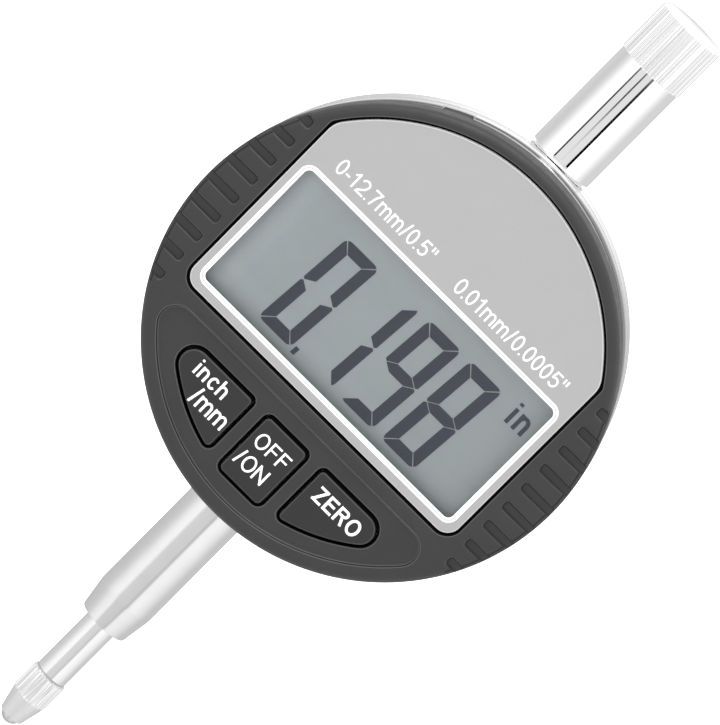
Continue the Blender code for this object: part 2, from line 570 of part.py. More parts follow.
def build_battery(back):
    """Button cell in a plastic cup behind the board, with its two contacts."""
    cup = empty("battery_bay", (-BATTERY_X, BATTERY_Z, 0))
    cup.parent = back
    outer, inner, mouth, floor = 7.1 * MM, 6.3 * MM, 4.9 * MM, -1.4 * MM
    foot = -(BOARD_FACE - BOARD_THICK) + 0.2 * MM
    profile = [
        (0, floor),
        (inner, floor),
        (inner, mouth),
        (outer, mouth),
        (outer, foot),
        (inner, foot),
        (inner, floor - 0.8 * MM),
        (0, floor - 0.8 * MM),
    ]
    holder = add("battery_holder", lathe(profile), "white_plastic", cup)
    combine(holder, rod(0.7 * MM, foot, 0, COARSE))
    combine(holder, box(5.5 * MM, 6.5 * MM, -1.8 * MM, 1.8 * MM, foot, 0))
    low = -0.65 * MM
    high = low + BATTERY_THICK
    cell = [(0, low), (4.4 * MM, low), (4.8 * MM, low + 0.7 * MM), (BATTERY_R, low + 1.1 * MM)]
    cell += [(BATTERY_R, high - 0.4 * MM), (BATTERY_R - 0.4 * MM, high), (0, high)]
    add("battery_cell", lathe(cell), "satin_steel", cup)
    strip = box(-3.5 * MM, 3.5 * MM, -1.5 * MM, 1.5 * MM, -1.3 * MM, -1.0 * MM)
    minus = add("battery_contact_minus", strip, "gold_contact", cup)
    combine(minus, rod(0.4 * MM, foot, -1.1 * MM, COARSE), "UNION")
    combine(minus, rod(1.0 * MM, -1.1 * MM, -0.75 * MM, COARSE), "UNION")
    leaf = box(5.87 * MM, 6.1 * MM, -1.1 * MM, 1.1 * MM, foot, 4.0 * MM)
    add("battery_contact_plus", leaf, "gold_contact", cup)


# ---------------------------------------------------------------- stem, tube and spindle
def build_stem(dial):
    profile = [
        (2.4 * MM, STEM_END),
        (3.25 * MM, STEM_END),
        (3.42 * MM, STEM_END + 0.15 * MM),
        (STEM_R, STEM_CONE),
        (STEM_R, STEM_TOP),
        (3.0 * MM, STEM_TOP),
        (3.0 * MM, STEM_END + 0.5 * MM),
        (2.4 * MM, STEM_END + 0.5 * MM),
    ]
    add("stem", lathe(profile), "satin_steel", dial)
    bottom = STEM_END + 0.6 * MM
    add("lower_bush", pipe(2.95 * MM, BUSH_BORE_R, bottom, bottom + 11.0 * MM), "bronze", dial)
    add("stop_washer", pipe(STEM_R, 2.5 * MM, STEM_TOP + CLEAR, STEM_TOP + WASHER_THICK), "nylon", dial)


def build_neck_and_tube(dial):
    profile = [
        (BUSH_BORE_R, NECK_BOTTOM),
        (NECK_R, NECK_BOTTOM),
        (NECK_R, NECK_SHOULDER),
        (THREAD_R, NECK_SHOULDER),
        (THREAD_R, NECK_TOP),
        (BUSH_BORE_R, NECK_TOP),
    ]
    add("upper_bush", lathe(profile), "chrome", dial)
    profile = [
        (TUBE_BORE_R, TUBE_BOTTOM),
        (TUBE_R - 0.15 * MM, TUBE_BOTTOM),
        (TUBE_R, TUBE_BOTTOM + 0.15 * MM),
        (TUBE_R, TUBE_TOP),
        (TUBE_BORE_R, TUBE_TOP),
    ]
    add("spindle_tube", lathe(profile), "chrome", dial)


def build_cap(dial):
    """Knurled screw cap that closes the tube."""
    slide = empty("top_cap_slide", (0, 0, TUBE_TOP))
    slide.parent = dial
    top, seat, spigot = CAP_TOP - TUBE_TOP, CLEAR, -2.8 * MM
    profile = [
        (CAP_BORE_R, spigot),
        (THREAD_R, spigot),
        (THREAD_R, seat),
        (CAP_R - 0.2 * MM, seat),
        (CAP_R, seat + 0.3 * MM),
        (CAP_R, top - 0.7 * MM),
        (CAP_R - 0.7 * MM, top),
        (0, top),
        (0, top - 1.8 * MM),
        (CAP_BORE_R, top - 1.8 * MM),
    ]
    add("top_cap", lathe(profile, 40), "chrome", slide)


def build_spindle(moving):
    """Everything that slides with the spindle. Heights here are from the dial's centre."""
    thread_bore, bore_top = 1.25 * MM, CONTACT_TOP + 5.0 * MM
    bottom = CONTACT_TOP + CLEAR
    profile = [
        (0, bore_top),
        (thread_bore, bore_top),
        (thread_bore, bottom),
        (SPINDLE_R - 0.2 * MM, bottom),
        (SPINDLE_R, bottom + 0.2 * MM),
        (SPINDLE_R, SPINDLE_TOP - 0.4 * MM),
        (SPINDLE_R - 0.4 * MM, SPINDLE_TOP),
        (0, SPINDLE_TOP),
    ]
    add("spindle", lathe(profile), "satin_steel", moving)

    low, high = CARRIER_BOTTOM, CARRIER_BOTTOM + CARRIER_HEIGHT
    half = CARRIER_W / 2
    block = box(-half, half, -CARRIER_FRONT, -CARRIER_BACK, low, high)
    carrier = add("scale_carrier", block, "bronze", moving)
    arm_z = SPRING_HOOK_Z
    front, rear = -CARRIER_FRONT + 0.6 * MM, -CARRIER_FRONT + 2.2 * MM
    arm = box(half - 0.5 * MM, SPRING_X + 1.6 * MM, front, rear, arm_z - 2 * MM, arm_z + 2 * MM)
    combine(carrier, arm, "UNION")
    combine(carrier, rod(SPINDLE_R + CLEAR, low - CUT, high + CUT))
    hook_hole = rod(SPRING_PIN_R + CLEAR, 0, CUT, COARSE)
    hook_place = (SPRING_X, -CARRIER_FRONT + 3.6 * MM, arm_z)
    combine(carrier, hook_hole, location=hook_place, rotation=(math.radians(90), 0, 0))
    screw_z = low + 4.0 * MM
    screw_hole = rod(1.05 * MM, 0, CUT, COARSE)
    combine(carrier, screw_hole, location=(0, 0, screw_z), rotation=(0, math.radians(90), 0))
    pin_hole = rod(0.85 * MM, 0, CUT, COARSE)
    pin_place = (0, 2.55 * MM, low + 8 * MM)
    combine(carrier, pin_hole, location=pin_place, rotation=(math.radians(-90), 0, 0))

    set_screw = rod(1.0 * MM, SPINDLE_R + 0.1 * MM, half - 0.2 * MM, COARSE)
    turned = (0, math.radians(90), 0)
    screw = add("carrier_screw", set_screw, "satin_steel", moving, (0, 0, screw_z), turned)
    combine(screw, box(-0.2 * MM, 0.2 * MM, -0.8 * MM, 0.8 * MM, half - 0.7 * MM, CUT))
    front, rear = -CARRIER_FRONT - 0.85 * MM, -CARRIER_FRONT - CLEAR
    strip = box(-4.0 * MM, 4.0 * MM, front, rear, low - 1.5 * MM, 16.0 * MM)
    add("scale_strip", strip, "scale_glass", moving)
    pin = rod(0.8 * MM, 2.6 * MM, 4.75 * MM, COARSE)
    add("guide_pin", pin, "satin_steel", moving, (0, 0, low + 8 * MM), (math.radians(-90), 0, 0))
    hook_pin = rod(SPRING_PIN_R, 0.5 * MM, CARRIER_FRONT - 0.7 * MM, COARSE)
    turned = (math.radians(90), 0, 0)
    add("spring_hook_pin", hook_pin, "satin_steel", moving, (SPRING_X, 0, arm_z), turned)


def build_contact(tip):
    """Screw-in contact point with its ball, about its own thread."""
    stud, stud_top = 1.15 * MM, CONTACT_TOP + 4.5 * MM
    pocket, pocket_top = BALL_R + CLEAR, TIP + 2 * BALL_R + CLEAR
    profile = [
        (0, stud_top),
        (stud, stud_top - 0.3 * MM),
        (stud, CONTACT_TOP),
        (CONTACT_R, CONTACT_TOP),
        (CONTACT_R, CONTACT_CONE),
        (1.65 * MM, CONTACT_END),
        (pocket, CONTACT_END),
        (pocket, pocket_top),
        (0, pocket_top),
    ]
    add("contact_point", lathe(profile), "satin_steel", tip)
    centre = TIP + BALL_R
    steps = 8
    ball = []
    for i in range(steps + 1):
        angle = math.pi * i / steps
        ball.append((BALL_R * math.sin(angle), centre - BALL_R * math.cos(angle)))
    ball[0], ball[-1] = (0, centre - BALL_R), (0, centre + BALL_R)
    add("contact_ball", lathe(ball, 20), "carbide", tip)


def build_spring(dial):
    """Tension spring from a pin on the case to a pin on the carriage, with a hook at each end."""
    coil_r, wire_r, hook_r, turns = 1.3 * MM, 0.18 * MM, 1.15 * MM, 13
    per_turn, hook_steps = 10, 8
    ahead = -SPRING_AHEAD
    low, high = SPRING_ANCHOR_Z + 2.2 * MM, SPRING_HOOK_Z - 2.2 * MM
    points = []
    for i in range(hook_steps + 1):
        angle = math.radians(60 - 240 * i / hook_steps)
        x = SPRING_X - hook_r * math.sin(angle)
        points.append((x, ahead, SPRING_ANCHOR_Z - hook_r * math.cos(angle)))
    lower_hook = list(points)
    for i in range(turns * per_turn + 1):
        angle = 2 * math.pi * i / per_turn
        height = low + (high - low) * i / (turns * per_turn)
        x = SPRING_X + coil_r * math.cos(angle)
        points.append((x, ahead + coil_r * math.sin(angle), height))
    helix = points[hook_steps + 1 :]
    middle = SPRING_ANCHOR_Z + SPRING_HOOK_Z
    upper_hook = [(x, y, middle - z) for x, y, z in lower_hook[::-1]]
    path = lower_hook + helix + upper_hook
    curve = bpy.data.curves.new("return_spring", "CURVE")
    curve.dimensions = "3D"
    curve.bevel_depth = wire_r
    curve.bevel_resolution = 0
    curve.use_fill_caps = True
    spline = curve.splines.new("POLY")
    spline.points.add(len(path) - 1)
    for point, place in zip(spline.points, path):
        point.co = (*place, 1)
    curve.materials.append(material("spring_steel"))
    spring = bpy.data.objects.new("return_spring", curve)
    bpy.context.scene.collection.objects.link(spring)
    spring.parent = dial
    anchor = rod(SPRING_PIN_R, 0.5 * MM, LEDGE_FRONT - 0.1 * MM, COARSE)
    turned = (math.radians(90), 0, 0)
    add("spring_anchor", anchor, "satin_steel", dial, (SPRING_X, 0, SPRING_ANCHOR_Z), turned)


# ---------------------------------------------------------------- assembly
def main():
    clear_scene()
    dial = empty("dial_centre", (0, 0, DIAL_Z))
    # In the face frame, X is right, Y is up and Z points at the viewer.
    face = empty("face_frame", (0, 0, DIAL_Z), (math.radians(90), 0, 0))
    # In the back frame, X is left, Y is up and Z points away from the viewer.
    back = empty("back_frame", (0, 0, DIAL_Z), (math.radians(90), 0, math.radians(180)))
    moving = empty("spindle_slide", (0, 0, DIAL_Z))
    tip = empty("contact_axis", (0, 0, DIAL_Z))
    build_bezel(face)
    build_display(face)
    build_board(face)
    build_keys(face)
    build_case(face)
    build_port_cover(face)
    build_back(back)
    build_battery(back)
    build_stem(dial)
    build_neck_and_tube(dial)
    build_cap(dial)
    build_spindle(moving)
    build_contact(tip)
    build_spring(dial)


main()
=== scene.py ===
"""Looks of the digital dial indicator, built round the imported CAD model.

Lengths are in millimetres until a mesh is finished. On the face, x is to the right and y is up from
the dial's centre, and "ahead" is how far a point lies in front of the spindle's axis.
"""

import math

import bmesh
import bpy
from mathutils import Matrix, Vector


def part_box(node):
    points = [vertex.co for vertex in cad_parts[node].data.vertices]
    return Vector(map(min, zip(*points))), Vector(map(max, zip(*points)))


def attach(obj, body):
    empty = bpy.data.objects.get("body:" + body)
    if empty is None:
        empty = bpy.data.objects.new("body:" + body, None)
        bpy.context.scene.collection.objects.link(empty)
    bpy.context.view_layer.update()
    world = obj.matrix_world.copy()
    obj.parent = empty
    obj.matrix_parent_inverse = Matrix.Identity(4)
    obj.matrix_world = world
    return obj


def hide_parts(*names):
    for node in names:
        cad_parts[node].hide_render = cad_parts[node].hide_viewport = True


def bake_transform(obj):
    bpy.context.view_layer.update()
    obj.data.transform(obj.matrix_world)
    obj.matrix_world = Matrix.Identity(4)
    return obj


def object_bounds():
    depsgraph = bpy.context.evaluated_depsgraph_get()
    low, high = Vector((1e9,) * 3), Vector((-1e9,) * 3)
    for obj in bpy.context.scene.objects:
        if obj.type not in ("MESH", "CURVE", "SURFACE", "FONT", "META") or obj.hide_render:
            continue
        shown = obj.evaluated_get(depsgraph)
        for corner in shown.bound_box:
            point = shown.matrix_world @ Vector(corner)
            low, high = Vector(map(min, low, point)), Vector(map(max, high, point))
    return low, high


MM = 0.001

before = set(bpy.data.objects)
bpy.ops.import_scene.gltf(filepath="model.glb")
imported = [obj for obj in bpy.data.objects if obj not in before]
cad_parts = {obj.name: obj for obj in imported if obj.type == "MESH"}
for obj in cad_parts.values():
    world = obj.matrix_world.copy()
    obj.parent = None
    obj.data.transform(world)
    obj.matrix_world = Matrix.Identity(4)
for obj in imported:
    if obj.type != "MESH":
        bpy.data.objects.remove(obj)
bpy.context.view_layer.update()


# ---------------------------------------------------------------- sizes read from the CAD nodes
def corners(node):
    """A CAD node's lowest and highest corners, in millimetres."""
    low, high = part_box(node)
    return [v / MM for v in low], [v / MM for v in high]


def disc(node):
    """A node's radius, and how far its front and rear lie ahead of the axis."""
    low, high = corners(node)
    return (high[0] - low[0]) / 2, -low[1], -high[1]


def bar(node):
    """A node's radius, and its lower and upper ends from the dial's centre."""
    low, high = corners(node)
    return high[0], low[2] - DIAL_Z, high[2] - DIAL_Z


DIAL_Z = sum(corner[2] for corner in corners("front_bezel")) / 2
BEZEL_R, FACE, _ = disc("front_bezel")
PLATE_FACE, LENS_FACE, LCD_FACE = (disc(node)[1] for node in ("face_plate", "window_lens", "lcd_panel"))
_, KEY_FACE, KEY_FOOT = disc("key_zero")
CASE_R, CASE_FRONT, CASE_BACK = disc("case_body")
COVER_R = disc("back_cover")[0]
STEM_R, STEM_END, STEM_TOP = bar("stem")
TUBE_R, TUBE_END, TUBE_TOP = bar("spindle_tube")
NECK_R, NECK_END, NECK_TOP = bar("upper_bush")
CAP_R, _, CAP_TOP = bar("top_cap")
SPINDLE_R, SPINDLE_END, SPINDLE_TOP = bar("spindle")
POINT_R, POINT_END, POINT_TOP = bar("contact_point")
BALL_R, BALL_END, _ = bar("contact_ball")

# ---------------------------------------------------------------- sizes that the CAD source holds too
BEZEL_REAR, SKIRT_R, SKIRT_REAR, BEZEL_WALL = 12.5, 27.6, 10.9, 2.2
PLATE_R, PLATE_SIDE, PLATE_BOTTOM, PLATE_THICK = 27.1, 22.4, -10.9, 0.8
LENS_W, LENS_H = 44.2, 20.9
FIELD_R, FIELD_TOP, FIELD_CORNER, FIELD_DEPTH = 26.9, -13.2, 2.4, 0.4
KEY_R, KEY_TOP, KEY_GAP = 24.85, -15.17, 0.45
SIDE_KEY_INNER, SIDE_KEY_END = 5.45, 2.4
MID_KEY_W, MID_KEY_BOTTOM = 7.5, -24.8
GROOVE_COUNT, GROOVE_PITCH, GROOVE_W, GROOVE_INNER = 9, 3.22, 1.3, 24.05
GROOVE_DEPTH, GROOVE_RAISE = 0.6, 0.35
CASE_REAR_R, CASE_STEP = 27.6, 0.4
NOTCH_FROM, NOTCH_TO, NOTCH_REAR = 22.6, 31.0, 7.2
PORT_ANGLE, PORT_W, PORT_H, PORT_AHEAD = 47.6, 3.0, 3.2, 10.0
SCREW_PLACES = [(11.0, 19.9), (-11.0, 19.9), (-18.4, -13.4), (18.4, -13.4)]
BATTERY_PLACE, BATTERY_COVER_R = (-12.6, 4.5), 7.0
COVER_FACE = 6.4  # behind the axis
LUG_BEHIND, LUG_R, LUG_THICK, LUG_HOLE_R = 11.5, 5.5, 5.0, 3.25
STEM_CONE = -48.4
THREAD_R = 3.55
ROUND_STEPS = 288  # facets of the bezel and the case
GRIPS_HALF_H = 14.2
POINT_CONE, POINT_SHOULDER = -66.0, -62.1
SPRING_X, SPRING_AHEAD, SPRING_LOW, SPRING_HIGH = 10.5, 2.0, -20.6, -5.0

# ---------------------------------------------------------------- the window and the display
WINDOW = (41.62, 18.6, 0.85)  # width, height, corner radius of the opening
BORDER = (42.9, 19.88, 1.5)  # the same of the white border's outside
WINDOW_Y = 0.13
RIM_STEP = 7.45  # ahead of the axis, where the rim's front band starts
DIGIT_LOW, DIGIT_HIGH, DIGIT_W, DIGIT_BAR, DIGIT_SLANT = -8.3, 6.2, 5.4, 1.5, 0.077
DIGIT_DEPTHS = (LCD_FACE - 0.02, LCD_FACE + 0.03)
DIGIT_LEFTS = {"0": -12.76, "1": -5.85, "9": 1.15, "8": 8.1}
SEGMENTS = {"0": "abcdef", "1": "bc", "9": "abcdfg", "8": "abcdefg"}


# ---------------------------------------------------------------- outlines, as points in the face's plane
def arc(cx, cy, radius, start, end, steps=8):
    """Points along an arc, angles in degrees from +X, anticlockwise when end is larger."""
    turns = [math.radians(start + (end - start) * i / steps) for i in range(steps + 1)]
    return [(cx + radius * math.cos(turn), cy + radius * math.sin(turn)) for turn in turns]


def rounded(width, height, corner, steps=8, centre=(0, 0)):
    """The outline of a rounded rectangle, as a function of how far it grows."""
    x, y = width / 2 - corner, height / 2 - corner

    def outline(grow=0.0):
        points = []
        for cx, cy, start in ((x, y, 0), (-x, y, 90), (-x, -y, 180), (x, -y, 270)):
            points += arc(centre[0] + cx, centre[1] + cy, corner + grow, start, start + 90, steps)
        return points

    return outline


def plate_outline(grow, top_corner):
    radius, side, bottom = PLATE_R + grow, PLATE_SIDE + grow, PLATE_BOTTOM - grow
    low_corner = 2.0 + grow
    cx = side - top_corner
    cy = math.sqrt((radius - top_corner) ** 2 - cx**2)
    turn = math.degrees(math.atan2(cy, cx))
    low_y = bottom + low_corner
    return (
        arc(cx, cy, top_corner, 0, turn, 8)[:-1]
        + arc(0, 0, radius, turn, 180 - turn, 96)
        + arc(-cx, cy, top_corner, 180 - turn, 180, 8)[1:]
        + arc(-side + low_corner, low_y, low_corner, 180, 270, 10)
        + arc(side - low_corner, low_y, low_corner, 270, 360, 10)
    )


def field_outline(grow):
    radius, corner, top = FIELD_R + grow, FIELD_CORNER + grow, FIELD_TOP + grow
    cy = top - corner
    cx = math.sqrt((radius - corner) ** 2 - cy**2)
    turn = math.degrees(math.atan2(cy, cx))
    return (
        arc(-cx, cy, corner, 90, 180 - turn, 12)[:-1]
        + arc(0, 0, radius, 180 - turn, 360 + turn, 80)
        + arc(cx, cy, corner, turn, 90, 12)[1:]
    )


def side_key_outline(side, grow):
    radius, top, inner = KEY_R + grow, KEY_TOP + grow, SIDE_KEY_INNER - grow
    end, small = SIDE_KEY_END + grow, 1.0 + grow
    end_y = top - end
    end_x = math.sqrt((radius - end) ** 2 - end_y**2)
    end_turn = math.degrees(math.atan2(end_y, end_x))
    low_x = inner + small
    low_y = -math.sqrt((radius - small) ** 2 - low_x**2)
    low_turn = math.degrees(math.atan2(low_y, low_x))
    points = (
        arc(low_x, top - small, small, 180, 90, 6)
        + arc(end_x, end_y, end, 90, end_turn, 14)
        + arc(0, 0, radius, end_turn, low_turn, 12)[1:-1]
        + arc(low_x, low_y, small, low_turn, -180, 8)
    )
    return [(side * x, y) for x, y in points]


MID_KEY_CENTRE = (0, (KEY_TOP + MID_KEY_BOTTOM) / 2)
KEYS = {  # node: body and outline
    "key_unit": ("unit_key", lambda grow: side_key_outline(-1, grow)),
    "key_power": ("power_key", rounded(MID_KEY_W, KEY_TOP - MID_KEY_BOTTOM, 1.1, 6, MID_KEY_CENTRE)),
    "key_zero": ("zero_key", lambda grow: side_key_outline(1, grow)),
}


# ---------------------------------------------------------------- mesh helpers, all in millimetres
def on_face(x, y, ahead):
    """A point given in the face's coordinates, in the scene's."""
    return (x, -ahead, y + DIAL_Z)


def on_axis(x, y, height):
    """A point round the spindle's axis, its height counted from the dial's centre."""
    return (x, y, height + DIAL_Z)


def round_spot(x0, y0):
    """Like on_face, for a shape turned about a point of the face."""
    return lambda x, y, ahead: on_face(x0 + x, y0 + y, ahead)


def at_port(x, out):
    """A point of the face's plane, x across the data port and out from the dial's centre."""
    return tuple(Matrix.Rotation(-math.radians(PORT_ANGLE), 2) @ Vector((x, out)))


def loft(rings, caps=True, cyclic=False, into=None):
    """Joins closed rings of points into a skin. Adds to a mesh when one is given."""
    shape = into or bmesh.new()
    rows = [[shape.verts.new(point) for point in ring] for ring in rings]
    pairs = list(zip(rows, rows[1:]))
    if cyclic:
        pairs.append((rows[-1], rows[0]))
    count = len(rows[0])
    for low, high in pairs:
        for i in range(count):
            j = (i + 1) % count
            shape.faces.new((low[i], low[j], high[j], high[i]))
    if caps and not cyclic:
        shape.faces.new(rows[0][::-1])
        shape.faces.new(rows[-1])
    return shape


def stack(outline, layers, into=None, cyclic=False):
    """A solid from an outline function, through layers of (grow, ahead)."""
    rings = [[on_face(x, y, ahead) for x, y in outline(grow)] for grow, ahead in layers]
    return loft(rings, cyclic=cyclic, into=into)


def prism(points, low, high, into=None):
    """A slab with the same outline from one depth to another."""
    return stack(lambda _: points, [(0, low), (0, high)], into)


def turned(profile, segments, place=on_axis, cyclic=True, into=None):
    """A profile of (radius, height) turned about an axis."""
    rings = []
    for radius, height in profile:
        turns = [2 * math.pi * (i + 0.5) / segments for i in range(segments)]
        rings.append([place(radius * math.cos(turn), radius * math.sin(turn), height) for turn in turns])
    return loft(rings, caps=False, cyclic=cyclic, into=into)


def tidy(shape):
    bmesh.ops.remove_doubles(shape, verts=shape.verts, dist=1e-4)
    bmesh.ops.dissolve_degenerate(shape, edges=shape.edges, dist=1e-5)
    bmesh.ops.recalc_face_normals(shape, faces=shape.faces)
    return shape


def linked(name, data):
    """A new object, in the scene."""
    obj = bpy.data.objects.new(name, data)
    bpy.context.scene.collection.objects.link(obj)
    return obj


def mesh_of(shape, name="work"):
    mesh = bpy.data.meshes.new(name)
    shape.to_mesh(mesh)
    shape.free()
    return mesh


def add(shape, other):
    """Puts a second solid into a mesh, without cutting either."""
    mesh = mesh_of(other)
    shape.from_mesh(mesh)
    bpy.data.meshes.remove(mesh)


def carve(shape, tool):
    """Cuts one mesh from another, and returns the result."""
    made = [linked("work", mesh_of(tidy(each))) for each in (shape, tool)]
    modifier = made[0].modifiers.new("cut", "BOOLEAN")
    modifier.operation = "DIFFERENCE"
    modifier.object = made[1]
    modifier.solver = "EXACT"
    graph = bpy.context.evaluated_depsgraph_get()
    result = bmesh.new()
    result.from_mesh(made[0].evaluated_get(graph).to_mesh())
    made[0].evaluated_get(graph).to_mesh_clear()
    for obj in made:
        mesh = obj.data
        bpy.data.objects.remove(obj)
        bpy.data.meshes.remove(mesh)
    return result


def piece(name, shape, looks, body, slot, stands_for=None, sharp=32, choose=None):
    """Finishes a mesh as a named object that rides on a body.

    looks names its looks, the main one first, and choose(centre, normal) says which one a face gets.
    """
    tidy(shape)
    keys = looks.split()
    if choose:
        shape.normal_update()
        for face in shape.faces:
            face.material_index = keys.index(choose(face.calc_center_median(), face.normal))
    bmesh.ops.scale(shape, vec=(MM, MM, MM), verts=shape.verts)
    mesh = mesh_of(shape, name)
    mesh.shade_smooth()
    mesh.set_sharp_from_angle(angle=math.radians(sharp))
    for key in keys:
        mesh.materials.append(LOOKS[key])
    obj = linked(name, mesh)
    weigh = obj.modifiers.new("even_shading", "WEIGHTED_NORMAL")
    weigh.keep_sharp = True
    if body:
        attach(obj, body)
    if stands_for:
        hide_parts(stands_for)
    return obj


# ---------------------------------------------------------------- materials
class Wiring:
    """Short ways to wire a node tree."""

    def __init__(self, tree):
        self.tree = tree

    def node(self, kind, **inputs):
        made = self.tree.nodes.new(kind)
        for key, value in inputs.items():
            made.inputs[key.replace("_", " ")].default_value = value
        return made

    def feed(self, made, *values):
        """Gives a node's first inputs their values or sources."""
        for socket, value in zip(made.inputs, values):
            if isinstance(value, (int, float)):
                socket.default_value = value
            else:
                self.tree.links.new(value, socket)
        return made

    def maths(self, operation, *values, clamp=False):
        made = self.feed(self.node("ShaderNodeMath"), *values)
        made.operation, made.use_clamp = operation, clamp
        return made.outputs["Value"]

    def spread(self, source, low, high):
        """0 where source is low, 1 where it is high."""
        return self.feed(self.node("ShaderNodeMapRange"), source, low, high).outputs["Result"]

    def ramp(self, source, *stops):
        made = self.feed(self.node("ShaderNodeValToRGB"), source)
        elements = made.color_ramp.elements
        while len(elements) < len(stops):
            elements.new(0.5)
        for element, (place, colour) in zip(elements, stops):
            element.position = place
            element.color = (*(colour if isinstance(colour, tuple) else grey(colour)), 1)
        return made.outputs["Color"]

    def mixed_colour(self, share, first, second, blend="MIX"):
        made = self.node("ShaderNodeMix")
        made.data_type, made.blend_type = "RGBA", blend
        self.feed(made, share)
        self.tree.links.new(first, made.inputs[6])
        self.tree.links.new(second, made.inputs[7])
        return made.outputs[2]

    def show(self, output, share, first, second):
        """Wires a mix of two shaders to the tree's output."""
        made = self.feed(self.node("ShaderNodeMixShader"), share, first.outputs[0], second.outputs[0])
        self.feed(output, made.outputs["Shader"])


class Look(Wiring):
    """A material with a Principled shader, in the object's coordinates."""

    def __init__(self, name, metallic=0.0, roughness=0.5, colour=(0.8, 0.8, 0.8)):
        self.material = bpy.data.materials.new(name)
        self.material.use_nodes = True
        super().__init__(self.material.node_tree)
        self.shader = self.tree.nodes["Principled BSDF"]
        self.shader.inputs["Base Color"].default_value = (*colour, 1)
        self.shader.inputs["Metallic"].default_value = metallic
        self.shader.inputs["Roughness"].default_value = roughness
        self.coords = self.node("ShaderNodeTexCoord").outputs["Object"]

    def mapped(self, **values):
        made = self.node("ShaderNodeMapping", **values)
        return self.feed(made, self.coords).outputs["Vector"]

    def noise(self, scale, detail=3.0, roughness=0.55, stretch=(1, 1, 1)):
        made = self.node("ShaderNodeTexNoise", Scale=scale, Detail=detail, Roughness=roughness)
        return self.feed(made, self.mapped(Scale=stretch)).outputs["Fac"]

    def along(self, axis, low, high):
        """0 to 1 between two places on an axis, in millimetres."""
        split = self.feed(self.node("ShaderNodeSeparateXYZ"), self.coords)
        return self.spread(split.outputs[axis], low * MM, high * MM)

    def drive(self, socket, source):
        self.tree.links.new(source, self.shader.inputs[socket])

    def vary(self, socket, source, low, high, start=0.3, end=0.7):
        """Drives one of the shader's inputs between two values."""
        self.drive(socket, self.ramp(source, (start, low), (end, high)))

    def bump(self, height, distance, strength):
        made = self.node("ShaderNodeBump", Strength=strength, Distance=distance)
        self.tree.links.new(height, made.inputs["Height"])
        self.drive("Normal", made.outputs["Normal"])


def grey(value, tint=(1, 1, 1)):
    return tuple(value * t for t in tint)


def moulded_plastic(name, shade, low_rough, high_rough, grain=7000, depth=12e-6):
    """Moulded plastic: faint colour drift, spark-eroded grain, uneven gloss."""
    look = Look(name)
    tint = (1, 1, 1.02)
    look.vary("Base Color", look.noise(160, 4), grey(shade * 0.93, tint), grey(shade * 1.07, tint))
    look.vary("Roughness", look.noise(900), low_rough, high_rough)
    look.bump(look.noise(grain, 2, 0.6), depth, 0.6)
    return look.material


def printed_silver(name, low, high, rough):
    """Silver-grey lacquer with very fine flake."""
    look = Look(name, metallic=0.35)
    tint = (1.0, 0.985, 0.985)
    flake = look.noise(15000, 2, 0.7)
    look.vary("Base Color", flake, grey(low, tint), grey(high, tint))
    look.vary("Roughness", look.noise(500), rough - 0.04, rough + 0.04)
    look.bump(flake, 3e-6, 0.3)
    return look.material


def white_ink():
    look = Look("white_ink", roughness=0.4)
    look.vary("Base Color", look.noise(3000, 2), 0.9, 0.97)
    look.bump(look.noise(9000, 2), 2e-6, 0.3)
    return look.material


def deep_shadow():
    look = Look("gap_shadow", roughness=0.9)
    look.shader.inputs["Specular IOR Level"].default_value = 0.05
    look.vary("Base Color", look.noise(900, 2), 0.003, 0.006)
    return look.material


def liquid_crystal():
    """Grey-green reflective panel with painted light and shade: its colour is lighter near its left, top and
    bottom edges, to cancel the shade of the window's frame, and a little darker right of the middle.
    """
    look = Look("lcd_glass", roughness=0.22)
    most, half_w, half_h = 1.3, 21, 9.2
    # Painted light and shade: multipliers across the panel and up it, lighter near the edges, a little darker
    # right of the middle.
    sides = [(0.045, 1.21), (0.067, 1.14), (0.09, 1.06), (0.157, 1.0), (0.5, 1.0), (0.75, 0.94)]
    sides += [(0.93, 0.97), (1.0, 1.0)]
    ends = [(0.0, 1.12), (0.05, 1.13), (0.11, 1.1), (0.17, 1.06), (0.23, 1.0), (0.73, 1.0)]
    ends += [(0.81, 1.035), (0.865, 1.085), (0.92, 1.148), (0.97, 1.17), (1.0, 1.28)]
    colour = look.ramp(look.noise(900, 2), (0.3, (0.413, 0.454, 0.47)), (0.7, (0.419, 0.461, 0.476)))
    across, up = look.along("X", -half_w, half_w), look.along("Z", DIAL_Z - half_h, DIAL_Z + half_h)
    for place, stops in ((across, sides), (up, ends)):
        shade = look.ramp(place, *[(at, value / most) for at, value in stops])
        colour = look.mixed_colour(1.0, colour, shade, "MULTIPLY")
    look.drive("Base Color", colour)
    look.bump(look.noise(12000, 2), 1.5e-6, 0.3)
    return look.material


def lcd_ink():
    look = Look("lcd_segments", roughness=0.35)
    look.vary("Base Color", look.noise(1500, 2), (0.01, 0.013, 0.03), (0.014, 0.017, 0.036))
    return look.material


def clear_window():
    """Clear acrylic sheet: see-through, with surface gloss only."""
    look = Look("clear_acrylic")
    clear = look.node("ShaderNodeBsdfTransparent", Color=(0.985, 0.99, 0.99, 1))
    gloss = look.node("ShaderNodeBsdfGlossy", Roughness=0.03)
    # The sheet doesn't bend light, so only its outer face may reflect: it does the work of both.
    behind = look.node("ShaderNodeNewGeometry").outputs["Backfacing"]
    front = look.maths("MULTIPLY_ADD", behind, -2, 2)
    fresnel = look.node("ShaderNodeFresnel", IOR=1.4).outputs["Fac"]
    share = look.maths("MULTIPLY", fresnel, front, clamp=True)
    look.show(look.tree.nodes["Material Output"], share, clear, gloss)
    return look.material


def polished(name, shade, low_rough, high_rough, scratch=6e-7):
    """Plated metal with faint hairlines."""
    look = Look(name, metallic=1.0, colour=grey(shade, (1, 1, 1.005)))
    look.vary("Roughness", look.noise(700, 4), low_rough, high_rough, end=0.75)
    look.bump(look.noise(2500, 3, 0.6, (1, 1, 0.06)), scratch, 0.5)
    return look.material


